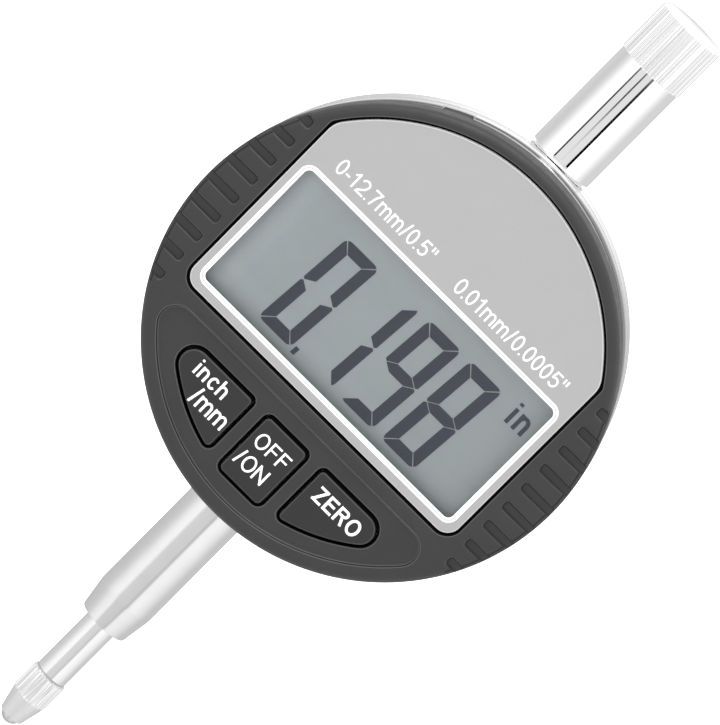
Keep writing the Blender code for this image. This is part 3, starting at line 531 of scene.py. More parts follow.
def ground_steel(name, shade, low_rough, high_rough, depth=2e-7):
    """Ground bar: fine rings round its length."""
    look = Look(name, metallic=1.0)
    rings = look.noise(1500, 4, 0.65, (0.05, 0.05, 6))
    look.vary("Base Color", look.noise(400), grey(shade * 0.985), grey(shade * 1.015))
    look.vary("Roughness", rings, low_rough, high_rough, 0.25, 0.75)
    look.bump(rings, depth, 0.5)
    return look.material


def rim_with_painted_shade():
    """Plated rim with painted shade: a dark painted shadow line at its step, and its front band, ahead of the
    step, painted greyer as shade near the bezel. On the right the painted grey band is wider and the rest
    greyer.
    """
    look = Look("case_chrome_painted_shade", metallic=1.0)
    rear, front = 5, 13
    step = (RIM_STEP - rear) / (front - rear)
    ahead = look.along("Y", -rear, -front)
    # Painted shade: near-white behind the step, a dark painted shadow line at it, and a grey painted band
    # ahead of it.
    left = [(0.0, 0.97), (step - 0.03, 0.97), (step, 0.22), (step + 0.04, 0.3), (step + 0.22, 0.45)]
    left += [(1.0, 0.6)]
    right = [(0.0, 0.8), (step - 0.16, 0.84), (step - 0.13, 0.22), (step - 0.08, 0.26), (1.0, 0.3)]
    shades = [look.ramp(ahead, *stops) for stops in (left, right)]
    look.drive("Base Color", look.mixed_colour(look.along("X", 2, 9), *shades))
    look.vary("Roughness", look.noise(700, 4), 0.1, 0.18, end=0.75)
    look.bump(look.noise(2500, 3, 0.6, (1, 0.06, 1)), 6e-7, 0.5)
    return look.material


def spun_metal():
    """Turned face: fine rings about the dial's centre, facing the back."""
    look = Look("spun_metal", metallic=1.0, colour=grey(0.8))
    length = look.node("ShaderNodeVectorMath")
    length.operation = "LENGTH"
    look.feed(length, look.mapped(Location=(0, 0, -DIAL_Z * MM), Scale=(1, 0, 1)))
    rings = look.node("ShaderNodeTexNoise", Scale=9000.0, Detail=3.0)
    rings.noise_dimensions = "1D"
    look.tree.links.new(length.outputs["Value"], rings.inputs["W"])
    look.vary("Roughness", rings.outputs["Fac"], 0.16, 0.3, 0.25, 0.75)
    look.bump(rings.outputs["Fac"], 1.5e-6, 0.5)
    return look.material


def coloured(name, shade, metallic=0.0, roughness=0.5):
    """Plain finish for the pieces inside, with a little drift and grain."""
    look = Look(name, metallic, roughness)
    look.vary("Base Color", look.noise(500), tuple(0.88 * c for c in shade), shade)
    look.bump(look.noise(3000), 5e-6, 0.4)
    return look.material


def circuit_board():
    """Green solder mask over tracks."""
    look = Look("green_board", roughness=0.35)
    tracks = look.node("ShaderNodeTexVoronoi", Scale=700.0)
    tracks.distance = "MANHATTAN"
    distance = look.feed(tracks, look.coords).outputs["Distance"]
    look.vary("Base Color", distance, (0.015, 0.1, 0.045), (0.03, 0.2, 0.085), 0.35, 0.4)
    look.bump(distance, 1e-5, 0.3)
    return look.material


LOOKS = {
    "plastic": moulded_plastic("dark_plastic", 0.0235, 0.46, 0.58),
    # Lighter copies of the plastic: painted highlights on slopes, fillets and the bezel's outer rounding
    "edge": moulded_plastic("plastic_painted_highlight", 0.06, 0.36, 0.44, 9000, 4e-6),
    "rounding": moulded_plastic("plastic_rounding_painted_highlight", 0.03, 0.42, 0.52),
    # A darker copy of the plastic: painted shade on the floors and ends of the grip grooves
    "low": moulded_plastic("plastic_recess_painted_shade", 0.022, 0.5, 0.62),
    # Near-black plastic: painted shadow along the walls of the grooves and the key field, on the bezel's rear
    # and on the tongue in the notch
    "line": moulded_plastic("plastic_painted_shadow_line", 0.006, 0.6, 0.7),
    "keys": moulded_plastic("key_plastic", 0.014, 0.42, 0.54, 9000, 8e-6),
    # A lighter copy of the key plastic: painted highlight on the keys' top and side fillets
    "key_edge": moulded_plastic("key_edge", 0.04, 0.45, 0.55, 9000, 4e-6),
    "silver": printed_silver("silver_print", 0.395, 0.435, 0.34),
    # A lighter copy of the silver: painted highlight on the plate's bevel
    "silver_edge": printed_silver("silver_edge", 0.58, 0.64, 0.3),
    "silver_groove": printed_silver("silver_groove", 0.5, 0.56, 0.4),
    "ink": white_ink(),
    "gap": deep_shadow(),
    "lcd": liquid_crystal(),
    "segments": lcd_ink(),
    "window": clear_window(),
    "chrome": polished("chrome", 0.95, 0.03, 0.045, 1e-7),
    "knurl": polished("knurled_chrome", 0.96, 0.15, 0.22),
    "cap_top": polished("cap_top_chrome", 0.93, 0.12, 0.2),
    "rim": rim_with_painted_shade(),
    "steel": ground_steel("satin_steel", 0.9, 0.15, 0.2),
    "rod": ground_steel("rod_steel", 0.97, 0.14, 0.18),
    "point": ground_steel("point_steel", 1.0, 0.15, 0.21),
    "cone": ground_steel("cone_steel", 0.86, 0.5, 0.6),
    # A darker steel: painted shadow where the spindle meets the contact point
    "seam": ground_steel("seam_shade_steel", 0.68, 0.45, 0.6),
    "carbide": polished("carbide", 0.8, 0.25, 0.35),
    "spun": spun_metal(),
    "screws": ground_steel("screw_steel", 0.66, 0.25, 0.38, 1e-6),
    "board": circuit_board(),
    "white": coloured("white_plastic", grey(0.75)),
    "zebra": coloured("zebra_rubber", (0.22, 0.17, 0.17), roughness=0.8),
    "resin": coloured("black_resin", grey(0.02), roughness=0.3),
    "silicone": coloured("grey_silicone", grey(0.45), roughness=0.7),
    "bronze": ground_steel("bronze", 0.5, 0.25, 0.4, 1e-6),
    "spring": ground_steel("spring_steel", 0.5, 0.2, 0.35, 1e-6),
    "gold": coloured("gold_contact", (0.8, 0.6, 0.25), 1.0, 0.3),
    "nylon": coloured("nylon", (0.8, 0.78, 0.72)),
    "scale": coloured("scale_glass", (0.5, 0.4, 0.18), 0.2, 0.3),
}


# ---------------------------------------------------------------- the head
def groove(side, y):
    """One grip groove's outline and layers: from outside the window's edge out through the rim."""

    def outline(grow):
        inner, outer = GROOVE_INNER - grow, BEZEL_R + 3
        half, corner = GROOVE_W / 2 + grow, 0.42 + grow
        points = arc(inner + corner, y + half - corner, corner, 90, 180, 5)
        points += arc(inner + corner, y - half + corner, corner, 180, 270, 5)
        points += [(outer, y - half), (outer, y + half)]
        return [(side * px, py) for px, py in points]

    floor = FACE - GROOVE_DEPTH
    layers = [(-0.24, floor), (-0.08, floor + 0.1), (0, floor + 0.3), (0, FACE - 0.14)]
    return outline, layers + [(0.05, FACE - 0.05), (0.2, FACE + 0.01), (0.3, FACE + 0.3)]


def make_bezel():
    round_r, inner, rear, floor = 1.15, SKIRT_R - 1.2, FACE - BEZEL_WALL, FACE - FIELD_DEPTH
    profile = [(0, FACE), (FIELD_R, FACE)]
    profile += arc(BEZEL_R - round_r, FACE - round_r, round_r, 90, 0, 12)
    profile += arc(BEZEL_R - 0.2, BEZEL_REAR + 0.2, 0.2, 0, -90, 3)
    profile += [(SKIRT_R, BEZEL_REAR), (SKIRT_R, SKIRT_REAR), (inner, SKIRT_REAR), (inner, rear), (0, rear)]
    shell = turned(profile, ROUND_STEPS, on_face)
    recess = PLATE_FACE - PLATE_THICK - 0.05
    layers = [(0.34, recess), (0.34, FACE - 0.16), (0.38, FACE - 0.05), (0.52, FACE + 0.01)]
    layers += [(0.7, FACE + 0.3)]
    shell = carve(shell, stack(lambda grow: plate_outline(grow, 0.7 + grow), layers))
    hole = rounded(LENS_W + 0.5, LENS_H + 0.5, 1.0)
    shell = carve(shell, stack(hole, [(0, rear - 2), (0, recess + 0.5)]))
    layers = [(-0.34, floor), (-0.16, floor + 0.04), (-0.06, floor + 0.14), (0, FACE - 0.12)]
    layers += [(0.05, FACE - 0.04), (0.2, FACE + 0.01), (0.3, FACE + 0.3)]
    shell = carve(shell, stack(field_outline, layers))
    tools = bmesh.new()
    layers = [(0, rear - 2), (0, floor - 0.2), (0.05, floor - 0.07), (0.2, floor + 0.005)]
    layers += [(0.2, floor + 0.1)]
    for _, outline in KEYS.values():
        stack(outline, layers, tools)
    for side in (-1, 1):
        for i in range(GROOVE_COUNT):
            stack(*groove(side, (i - (GROOVE_COUNT - 1) / 2) * GROOVE_PITCH + GROOVE_RAISE), tools)
    shell = carve(shell, tools)
    start, end = 90 + NOTCH_FROM + 0.5, 90 + NOTCH_TO - 0.5
    tongue = arc(0, 0, CASE_R - 0.1, start, end, 6) + arc(0, 0, SKIRT_R - 0.6, end, start, 6)
    prism(tongue, NOTCH_REAR + 0.3, BEZEL_REAR + 0.5, shell)

    # Faces get painted light: slopes and fillets a lighter plastic as painted highlights, groove floors a
    # darker one as painted shade, walls a near-black one as painted shadow lines.
    def choose(place, normal):
        x, y, ahead, facing = abs(place.x), place.z - DIAL_Z, -place.y, -normal.y
        out, slanted = math.hypot(x, y), 0.15 < facing < 0.97
        grips = x > GROOVE_INNER - 0.35 and abs(y) < GRIPS_HALF_H and ahead > FACE - GROOVE_DEPTH - 0.1
        # The bezel's rear and the tongue in the notch get the near-black plastic, painted shade.
        if ahead < BEZEL_REAR + 0.2:
            return "line"
        if y > FIELD_TOP and out < PLATE_R + 0.8 and x < PLATE_SIDE + 0.6 and not grips:
            return "gap" if ahead < FACE - 0.1 else "edge" if slanted else "plastic"
        if grips and ahead < FACE - 0.015:
            if facing > 0.9:
                # Groove floors get the darker plastic, painted shade.
                return "low" if ahead < FACE - GROOVE_DEPTH + 0.05 else "plastic"
            # Long groove walls and inner groove ends get the near-black plastic, painted shadow lines.
            if ahead < FACE - 0.16 and (facing < 0.5 or out < BEZEL_R - 0.3):
                long_wall = out < BEZEL_R - 0.05 and abs(normal.x) < 0.96
                return "line" if long_wall or x < GROOVE_INNER + 0.4 else "low"
            if out < BEZEL_R - 1.0:
                return "edge"
        if out < FIELD_R + 0.35 and y < FIELD_TOP + 0.35:
            if ahead < floor - 0.16:
                return "gap"
            # Walls of the key field get the near-black plastic, a painted shadow line.
            if ahead > floor + 0.1 and facing < 0.6:
                return "line"
            return "edge" if slanted else "plastic"
        # The bezel's outer rounding gets a lighter plastic, a painted highlight.
        return "rounding" if 0.3 < facing < 0.8 and out > BEZEL_R - round_r - 0.1 else "plastic"

    looks = "plastic gap low line edge rounding"
    shell = piece("bezel_shell", shell, looks, "housing", "dark_plastic", "front_bezel", 40, choose)
    shell.visible_glossy = False


def make_plate():
    """The silver sheet, and the white double bead round its window."""
    layers = [(0, PLATE_FACE - PLATE_THICK), (0, PLATE_FACE - 0.1), (-0.04, PLATE_FACE - 0.03)]
    layers += [(-0.15, PLATE_FACE)]
    plate = stack(lambda grow: plate_outline(grow, 3.0), layers)
    hole = rounded(BORDER[0] - 0.1, BORDER[1] - 0.1, BORDER[2], 8, (0, WINDOW_Y))
    plate = carve(plate, stack(hole, [(0, PLATE_FACE - 3), (0, PLATE_FACE + 1)]))
    # The plate's bevel gets the lighter silver, a painted highlight.
    bevel = lambda c, n: "silver_edge" if -c.y > PLATE_FACE - 0.15 and -n.y < 0.99 else "silver"
    piece("plate_sheet", plate, "silver silver_edge", "housing", "silver_print", "face_plate", 30, bevel)

    def ring(share, rise):
        width, height, corner = (a + (b - a) * share for a, b in zip(BORDER, WINDOW))
        outline = rounded(width, height, corner, 10, (0, WINDOW_Y))
        return [on_face(x, y, PLATE_FACE + rise) for x, y in outline()]

    bead = [(0, -0.4), (0, 0.0), (0.06, 0.05), (0.16, 0.08), (0.3, 0.07), (0.4, 0.0), (0.42, -0.04)]
    bead += [(0.58, -0.04), (0.6, 0.0), (0.7, 0.07), (0.84, 0.08), (0.94, 0.05), (1, -0.02), (1, -0.22)]
    bead += [(0.8, -0.4)]

    def between(place, normal):
        """The flat between the two beads is silver."""
        flat = -normal.y > 0.99 and PLATE_FACE - 0.1 < -place.y < PLATE_FACE
        return "silver_groove" if flat else "ink"

    beads = loft([ring(*point) for point in bead], cyclic=True)
    piece("window_border", beads, "ink silver_groove", "housing", "silver_print", sharp=50, choose=between)


def make_display():
    layers = lambda face: [(0, face - 1.0), (0, face - 0.1), (-0.1, face)]
    lens = stack(rounded(LENS_W, LENS_H, 0.8), layers(LENS_FACE))
    piece("window_sheet", lens, "window", "housing", "clear_acrylic", "window_lens")
    low, high = corners("lcd_panel")
    width, height = high[0] - low[0], high[2] - low[2]
    panel = stack(rounded(width, height, 0.5, 3), layers(LCD_FACE))
    add(panel, prism(rounded(width - 0.6, height - 4.4, 0.5, 3)(), LCD_FACE - 2.0, LCD_FACE - 0.95))
    piece("lcd_sheet", panel, "lcd", "housing", "lcd_glass", "lcd_panel")


def segment_shapes():
    """The seven bars of one digit in its own upright box, keyed by their usual letters."""
    w, h, bar_w, gap, r, turn = DIGIT_W, DIGIT_HIGH - DIGIT_LOW, DIGIT_BAR, 0.06, 0.85, 5
    mid, inset, inner = h / 2 - 0.08, 0.28, DIGIT_W - DIGIT_BAR
    near, top, low = inset + 0.1, mid + bar_w / 2, mid - bar_w / 2
    shapes = {}
    for level, right, left, end, up in (("a", "b", "f", h, 1), ("d", "c", "e", 0, -1)):
        y = end - up * r
        shapes[level] = arc(r, y, r, up * (135 - turn), up * 90, 4)
        shapes[level] += arc(w - r, y, r, up * 90, up * (45 + turn), 4)
        shapes[level] += [(inner - gap, end - up * bar_w), (bar_w + gap, end - up * bar_w)]
        shapes[right] = arc(w - r, y, r, up * (45 - turn), 0, 4)
        shapes[right] += [(w, mid + up * 0.28), (w - inset, mid + up * gap)]
        shapes[right] += [(inner, mid + up * (bar_w / 2 + 0.06)), (inner, end - up * (bar_w + gap))]
        shapes[left] = [(w - px, py) for px, py in shapes[right]]
    shapes["g"] = [(near, mid), (bar_w + 0.02, top - 0.03), (inner - 0.02, top - 0.03)]
    shapes["g"] += [(w - near, mid), (inner - 0.02, low + 0.03), (bar_w + 0.02, low + 0.03)]
    return shapes


def make_digits():
    """The reading, as thin dark bars on the panel."""
    shape = bmesh.new()
    shapes = segment_shapes()
    for digit, left in DIGIT_LEFTS.items():
        for letter in SEGMENTS[digit]:
            points = [(left + x + DIGIT_SLANT * y, DIGIT_LOW + y) for x, y in shapes[letter]]
            prism(points, *DIGIT_DEPTHS, shape)
    x, y = DIGIT_LEFTS["0"] + DIGIT_W + 0.36, DIGIT_LOW - 0.14
    dot = [(x, y - 0.2), (x + 0.6, y - 0.2), (x + 0.68, y + 0.85), (x + 0.08, y + 0.85)]
    prism(dot, *DIGIT_DEPTHS, shape)
    piece("lcd_digits", shape, "segments", "housing", "lcd_glass", sharp=30)


def letter_strokes(letter, h):
    """Centre lines of a letter whose capitals are 1 high, with h half the line's width, and its width."""

    def oval(cx, cy, rx, ry, start, end, steps=16):
        return [(cx + (rx - h) * x, cy + (ry - h) * y) for x, y in arc(0, 0, 1, start, end, steps)]

    def arch(left, right, top=0.74):
        middle, reach = (left + right) / 2, (right - left) / 2 + h
        return [(right, 0)] + oval(middle, 0.44, reach, top - 0.44, 0, 170, 10)

    stem = lambda x, top=1.0: [(x, 0), (x, top)]
    level = lambda left, right, y: [(left, y), (right, y)]
    two = oval(0.3, 0.72, 0.3, 0.29, 170, -25, 12) + [(0.42, 0.42), (0.1, 0.16), (h, h)]
    five = [(0.55, 1 - h), (0.14, 1 - h), (0.07, 0.5)]
    bowl = [(h, 1 - h), (0.4, 1 - h)] + oval(0.42, 0.74, 0.24, 0.26, 80, -80, 10) + [(h, 0.48 + h)]
    return {
        "0": ([oval(0.28, 0.5, 0.28, 0.51, 0, 360, 24)], 0.56),
        "1": ([stem(0.3), [(0.05, 0.75), (0.18, 0.81), (0.3, 0.98)]], 0.46),
        "2": ([two, level(0, 0.6, h)], 0.6),
        "5": ([five, oval(0.29, 0.33, 0.3, 0.335, 140, -150)], 0.6),
        "7": ([level(0, 0.58, 1 - h), [(0.58 - h, 1 - h), (0.32, 0.55), (0.2, 0)]], 0.58),
        ".": ([stem(h, 2 * h)], 2 * h),
        "-": ([level(0, 0.3, 0.36)], 0.3),
        "/": ([[(h, -0.02), (0.28, 1.02)]], 0.28 + h),
        '"': ([[(h, 0.66), (h, 1)], [(h + 0.22, 0.66), (h + 0.22, 1)]], 0.22 + 2 * h),
        "i": ([stem(h, 0.72), [(h, 0.87), (h, 1.0)]], 2 * h),
        "n": ([stem(h, 0.74), arch(h, 0.5 - h)], 0.5),
        "h": ([stem(h), arch(h, 0.5 - h)], 0.5),
        "m": ([stem(h, 0.74), arch(h, 0.43), arch(0.43, 0.86 - h)], 0.86),
        "c": ([oval(0.27, 0.37, 0.27, 0.38, 38, 322)], 0.48),
        "O": ([oval(0.38, 0.5, 0.38, 0.52, 0, 360, 28)], 0.76),
        "F": ([stem(h), level(h, 0.58, 1 - h), level(h, 0.52, 0.52)], 0.58),
        "N": ([stem(h), stem(0.68 - h), [(h, 1 - h), (0.68 - h, h)]], 0.68),
        "Z": ([level(0.02, 0.6, 1 - h), [(0.62 - 1.2 * h, 1 - h), (1.2 * h, h)], level(0, 0.62, h)], 0.62),
        "E": ([stem(h), level(h, 0.6, 1 - h), level(h, 0.56, 0.53), level(h, 0.62, h)], 0.62),
        "R": ([stem(h), bowl, [(0.4, 0.5), (0.6, 0)]], 0.68),
    }[letter]


def stroke_rings(flat, closed, h, rise):
    """A line's cross sections, as points of (place in the letter's box, height above the surface)."""
    rings = []
    for i, here in enumerate(flat):
        before = flat[i - 1] if i or closed else here
        after = flat[(i + 1) % len(flat)] if i < len(flat) - 1 or closed else here
        first = (here - before).normalized() if here != before else (after - here).normalized()
        second = (after - here).normalized() if here != after else first
        along = (first + second).normalized()
        reach = min(h / max(along.dot(first), 0.4), 2 * h)
        side = Vector((-along.y, along.x)) * reach
        rings.append([(here + side, rise), (here - side, rise), (here - side, -0.03), (here + side, -0.03)])
    return rings


def make_text(name, words, across, up, line, gap, ahead, look, body, slot):
    """Lettering of even lines. up runs from the baseline to the top of the capitals."""
    shape = bmesh.new()
    h = line / 2
    drawn = [letter_strokes(letter, h) for letter in words]
    total = sum(width for _, width in drawn) + gap * (len(drawn) - 1)
    tall, wide = up[1] - up[0], (across[1] - across[0]) / total
    start, rise = 0.0, 0.0
    for strokes, width in drawn:
        for points in strokes:
            rise = (rise + 0.003) % 0.012  # crossing strokes lie at different heights
            flat = [Vector((start + x, y)) for x, y in points]
            closed = (flat[0] - flat[-1]).length < 1e-6
            if closed:
                flat.pop()
            place = lambda q, z: on_face(across[0] + q.x * wide, up[0] + q.y * tall, ahead + z)
            rings = [[place(*point) for point in ring] for ring in stroke_rings(flat, closed, h, rise)]
            loft(rings, cyclic=closed, into=shape)
        start += width + gap
    piece(name, shape, look, body, slot, sharp=30)


def make_lettering():
    plate = (PLATE_FACE + 0.005, "ink", "housing", "silver_print")
    glass = (LCD_FACE + 0.01, "segments", "housing", "lcd_glass")
    unit, power, zero = ((KEY_FACE + 0.005, "ink", body, "key_plastic") for body, _ in KEYS.values())
    make_text("plate_range", '0-12.7mm/0.5"', (-18.55, -2.7), (11.3, 13.36), 0.11, 0.11, *plate)
    make_text("plate_step", '0.01mm/0.0005"', (1.5, 19.5), (11.14, 13.2), 0.11, 0.11, *plate)
    make_text("lcd_unit", "in", (17.05, 19.85), (3.8, 6.95), 0.16, 0.16, *glass)
    make_text("legend_inch", "inch", (-13.65, -8.75), (-18.33, -16.18), 0.135, 0.14, *unit)
    make_text("legend_mm", "/mm", (-11.75, -6.3), (-21.15, -18.8), 0.13, 0.09, *unit)
    make_text("legend_off", "OFF", (-2.5, 2.5), (-19.35, -17.3), 0.12, 0.14, *power)
    make_text("legend_on", "/ON", (-2.8, 1.8), (-22.5, -20.4), 0.12, 0.1, *power)
    make_text("legend_zero", "ZERO", (7.15, 14.25), (-19.05, -16.95), 0.155, 0.12, *zero)


def make_keys():
    """The three keys, and a near-black sheet under the bezel round them, painted shade that darkens the gaps
    round the keys.
    """

    def choose(place, normal):
        if -place.y < KEY_FACE - 0.3 and abs(normal.y) < 0.3:
            return "gap"
        # Fillets facing up or sideways get the lighter plastic, a painted highlight; the low walls get the
        # near-black gap shadow, painted shade.
        return "key_edge" if 0.2 < -normal.y < 0.97 and normal.z > -0.5 else "keys"

    gap_shade_sheet, radius = bmesh.new(), 0.24
    layers = [(-KEY_GAP, KEY_FOOT), (-KEY_GAP, KEY_FACE - 0.6), (-KEY_GAP, KEY_FACE - radius)]
    for turn in (math.radians(15 * i) for i in range(1, 7)):
        layers.append((-KEY_GAP - radius * (1 - math.cos(turn)), KEY_FACE - radius * (1 - math.sin(turn))))
    near, far, low, high = 0.12 - KEY_GAP, 0.75, FACE - BEZEL_WALL - 0.35, FACE - BEZEL_WALL - 0.06
    for node, (body, outline) in KEYS.items():
        key = stack(outline, layers)
        piece(node + "_cap", key, "keys gap key_edge", body, "key_plastic", node, 40, choose)
        stack(outline, [(near, low), (far, low), (far, high), (near, high)], gap_shade_sheet, cyclic=True)
    # A near-black sheet that stands in for the shade in the gaps round the keys.
    piece("key_gap_shade_sheet", gap_shade_sheet, "gap", "housing", "grey_silicone")


def make_case():
    counterbore, depth, inner, sunk = SKIRT_R + 0.2, SKIRT_REAR - 0.2, 25.5, CASE_R - 0.25
    profile = [(counterbore, CASE_FRONT), (CASE_R - 0.35, CASE_FRONT), (sunk, CASE_FRONT - 0.1)]
    profile += [(sunk, RIM_STEP + 0.15), (CASE_R - 0.18, RIM_STEP), (CASE_R, RIM_STEP - 0.2)]
    profile += [(CASE_R, 4.9), (CASE_R - 0.07, 4.75), (CASE_R - 0.07, 4.55), (CASE_R, 4.4)]
    profile += arc(CASE_R - 0.3, CASE_STEP + 0.3, 0.3, 0, -90, 5)
    profile += [(CASE_REAR_R, CASE_STEP - 0.25)]
    profile += arc(CASE_REAR_R - 0.6, CASE_BACK + 0.6, 0.6, 0, -90, 6)
    profile += [(inner, CASE_BACK), (inner, depth), (counterbore, depth)]
    tools, beyond = bmesh.new(), CASE_R + 4
    start, end = 90 + NOTCH_FROM, 90 + NOTCH_TO
    notch = arc(0, 0, beyond, start, end, 6) + arc(0, 0, 24.0, end, start, 6)
    prism(notch, NOTCH_REAR, BEZEL_REAR + 4, tools)
    half = PORT_W / 2
    slot = [at_port(*place) for place in ((-half, 24.5), (half, 24.5), (half, beyond), (-half, beyond))]
    prism(slot, PORT_AHEAD - PORT_H / 2, PORT_AHEAD + PORT_H / 2, tools)
    shell = carve(turned(profile, ROUND_STEPS, on_face), tools)
    piece("case_shell", shell, "rim", "housing", "chrome", "case_body", 35)


def make_port_cover():
    outline = rounded(PORT_W - 0.3, PORT_H - 0.3, 0.3, 4)
    rings = []
    for grow, out in ((0, 27.9), (0, CASE_R - 0.35), (-0.06, CASE_R - 0.2), (-0.2, CASE_R - 0.1)):
        rings.append([on_face(*at_port(x, out), PORT_AHEAD + y) for x, y in outline(grow)])
    piece("port_plug_cap", loft(rings), "plastic", "port_plug", "dark_plastic", "port_cover")


def make_back():
    outer, inner, lip = -COVER_FACE, -5.05, (25.2, 24.4)
    profile = [(0, outer)] + arc(COVER_R - 0.5, outer + 0.5, 0.5, -90, 0, 6)
    profile += [(COVER_R, inner), (lip[0], inner), (lip[0], inner + 0.85), (lip[1], inner + 0.85)]
    profile += [(lip[1], inner), (0, inner)]
    cover = turned(profile, 192, on_face)
    tools, within, beyond = bmesh.new(), -2.0, outer - 2
    sink = [(0, within), (1.2, within), (1.2, outer + 0.8), (2.15, outer + 0.8), (2.15, outer + 0.1)]
    sink += [(2.3, outer - 0.05), (2.3, beyond), (0, beyond)]
    for place in SCREW_PLACES:
        turned(sink, 48, round_spot(*place), into=tools)
    lid, edge = BATTERY_COVER_R + 0.2, BATTERY_COVER_R + 0.2 + 0.15
    sink = [(0, within), (lid, within), (lid, outer + 0.1), (edge, outer - 0.05), (edge, beyond), (0, beyond)]
    turned(sink, 96, round_spot(*BATTERY_PLACE), into=tools)
    cover = carve(cover, tools)

    def lug_ring(grow, x):
        points = arc(LUG_BEHIND, 0, LUG_R + grow, -90, 90, 28)
        points += [(COVER_FACE - 0.5, LUG_R + grow), (COVER_FACE - 0.5, -LUG_R - grow)]
        return [(x, behind, y + DIAL_Z) for behind, y in points]

    half, wide = LUG_THICK / 2, LUG_HOLE_R + 1.3
    layers = [(-0.4, -half), (-0.12, 0.1 - half), (0, 0.4 - half)]
    layers += [(grow, -x) for grow, x in layers[::-1]]
    bore = [(0, -half - 1), (wide, -half - 1), (LUG_HOLE_R, 0.3 - half)]
    bore += [(radius, -x) for radius, x in bore[::-1]]
    bore = turned(bore, 64, lambda a, b, h: (h, LUG_BEHIND + a, b + DIAL_Z))
    add(cover, tidy(carve(loft([lug_ring(*layer) for layer in layers]), bore)))
    piece("back_plate", cover, "spun", "housing", "chrome", "back_cover", 35)


def make_screw(name, node, x, y):
    head, outer, shank, head_r, end = 0.75 - COVER_FACE, 0.05 - COVER_FACE, 0.75, 1.95, 12.0
    profile = [(0, end), (0.4, end), (shank, 11.5), (shank, head), (head_r, head), (head_r, outer + 0.2)]
    profile += [(1.8, outer + 0.05), (1.5, outer), (0, outer)]
    screw = turned(profile, 48, round_spot(x, y))
    for turn in (20, 110):
        spin = Matrix.Rotation(math.radians(turn + 13 * x), 2)
        rings = []
        for width, long, deep in ((0.05, 0.3, 0.75), (0.2, 1.1, 0.05), (0.24, 1.25, -0.3)):
            cross = ((-long, -width), (long, -width), (long, width), (-long, width))
            rings.append([on_face(x + p.x, y + p.y, outer + deep) for p in (spin @ Vector(q) for q in cross)])
        screw = carve(screw, loft(rings))
    piece(name, screw, "screws", "housing", "satin_steel", node, 35)


def make_battery_cover():
    outer, radius = -COVER_FACE, BATTERY_COVER_R
    profile = [(0, outer + 1.15), (radius, outer + 1.15), (radius, outer + 0.3)]
    profile += arc(radius - 0.3, outer + 0.3, 0.3, 0, -90, 4)
    profile += [(5.9, outer), (5.8, outer + 0.12), (5.5, outer + 0.12), (5.4, outer), (0, outer)]
    lid = turned(profile, 128, round_spot(*BATTERY_PLACE))
    slot = rounded(9.0, 1.5, 0.7, 6, BATTERY_PLACE)
    layers = [(0.3, outer - 0.3), (0.15, outer - 0.02), (0, outer + 0.12), (0, outer + 0.65)]
    lid = carve(lid, stack(slot, layers))
    piece("battery_lid_disc", lid, "plastic", "battery_lid", "dark_plastic", "battery_cover", 35)


# ---------------------------------------------------------------- stem, tube, cap and spindle
def make_stem():
    bore, mouth, mouth_end = 3.0, 2.4, STEM_END + 0.5
    profile = [(mouth, STEM_END), (3.2, STEM_END), (3.36, STEM_END + 0.06), (3.43, STEM_END + 0.2)]
    profile += [(STEM_R - 0.02, STEM_CONE - 0.15), (STEM_R, STEM_CONE + 0.2)]
    profile += [(STEM_R, STEM_TOP), (bore, STEM_TOP), (bore, mouth_end), (mouth, mouth_end)]
    piece("stem_sleeve", turned(profile, 128), "steel", "housing", "satin_steel", "stem", 30)


def make_tube():
    bore, rounding = 3.65, 0.13
    profile = [(bore, TUBE_END), (TUBE_R - rounding, TUBE_END)]
    profile += arc(TUBE_R - rounding, TUBE_END + rounding, rounding, -60, 0, 3)
    profile += [(TUBE_R, TUBE_TOP), (bore, TUBE_TOP)]
    piece("tube_shell", turned(profile, 160), "chrome", "housing", "chrome", "spindle_tube", 35)
    bore, shoulder = 2.28, TUBE_END - 0.12
    profile = [(bore, NECK_END), (NECK_R, NECK_END), (NECK_R, shoulder), (THREAD_R, shoulder)]
    profile += [(THREAD_R, NECK_TOP), (bore, NECK_TOP)]
    piece("neck_bush", turned(profile, 128), "chrome", "housing", "chrome", "upper_bush", 35)


def knurled(profile, teeth, per_tooth=6):
    """A turned shape cut by straight V grooves, from points of (radius, height, groove's depth)."""
    count = teeth * per_tooth
    rings = []
    for radius, height, depth in profile:
        ring = []
        for i in range(count):
            angle = 2 * math.pi * i / count
            phase = (i % per_tooth) / per_tooth
            dip = depth * (1 - min(1.0, 1.35 * abs(2 * phase - 1)))
            wobble = 1 + 0.35 * math.sin(angle * 7 + 1.3) + 0.3 * math.sin(angle * 17 + 0.4)
            reach = radius - dip * wobble
            ring.append(on_axis(reach * math.cos(angle), reach * math.sin(angle), height))
        rings.append(ring)
    return loft(rings, caps=False, cyclic=True)


def make_cap():
    spigot, bore, roof, deep, teeth = TUBE_TOP - 2.8, 2.75, CAP_TOP - 1.8, 0.2, 60
    profile = [(bore, spigot, 0), (THREAD_R, spigot, 0), (THREAD_R, TUBE_TOP, 0), (CAP_R - 0.2, TUBE_TOP, 0)]
    profile += [(CAP_R - 0.02, TUBE_TOP, deep * 0.5), (CAP_R, TUBE_TOP + 0.12, deep)]
    profile += [(CAP_R, CAP_TOP - 0.55, deep), (CAP_R - 0.1, CAP_TOP - 0.3, deep * 0.8)]
    profile += [(CAP_R - 0.3, CAP_TOP - 0.08, deep * 0.3), (CAP_R - 0.42, CAP_TOP - 0.02, 0)]
    profile += [(CAP_R - 0.6, CAP_TOP, 0), (0, CAP_TOP, 0), (0, roof, 0), (bore, roof, 0)]
    above = lambda c, n: "cap_top" if c.z - DIAL_Z > CAP_TOP - 0.15 else "knurl"
    cap = knurled(profile, teeth)
    piece("knurled_cap", cap, "knurl cap_top", "screw_cap", "chrome", "top_cap", 30, above)


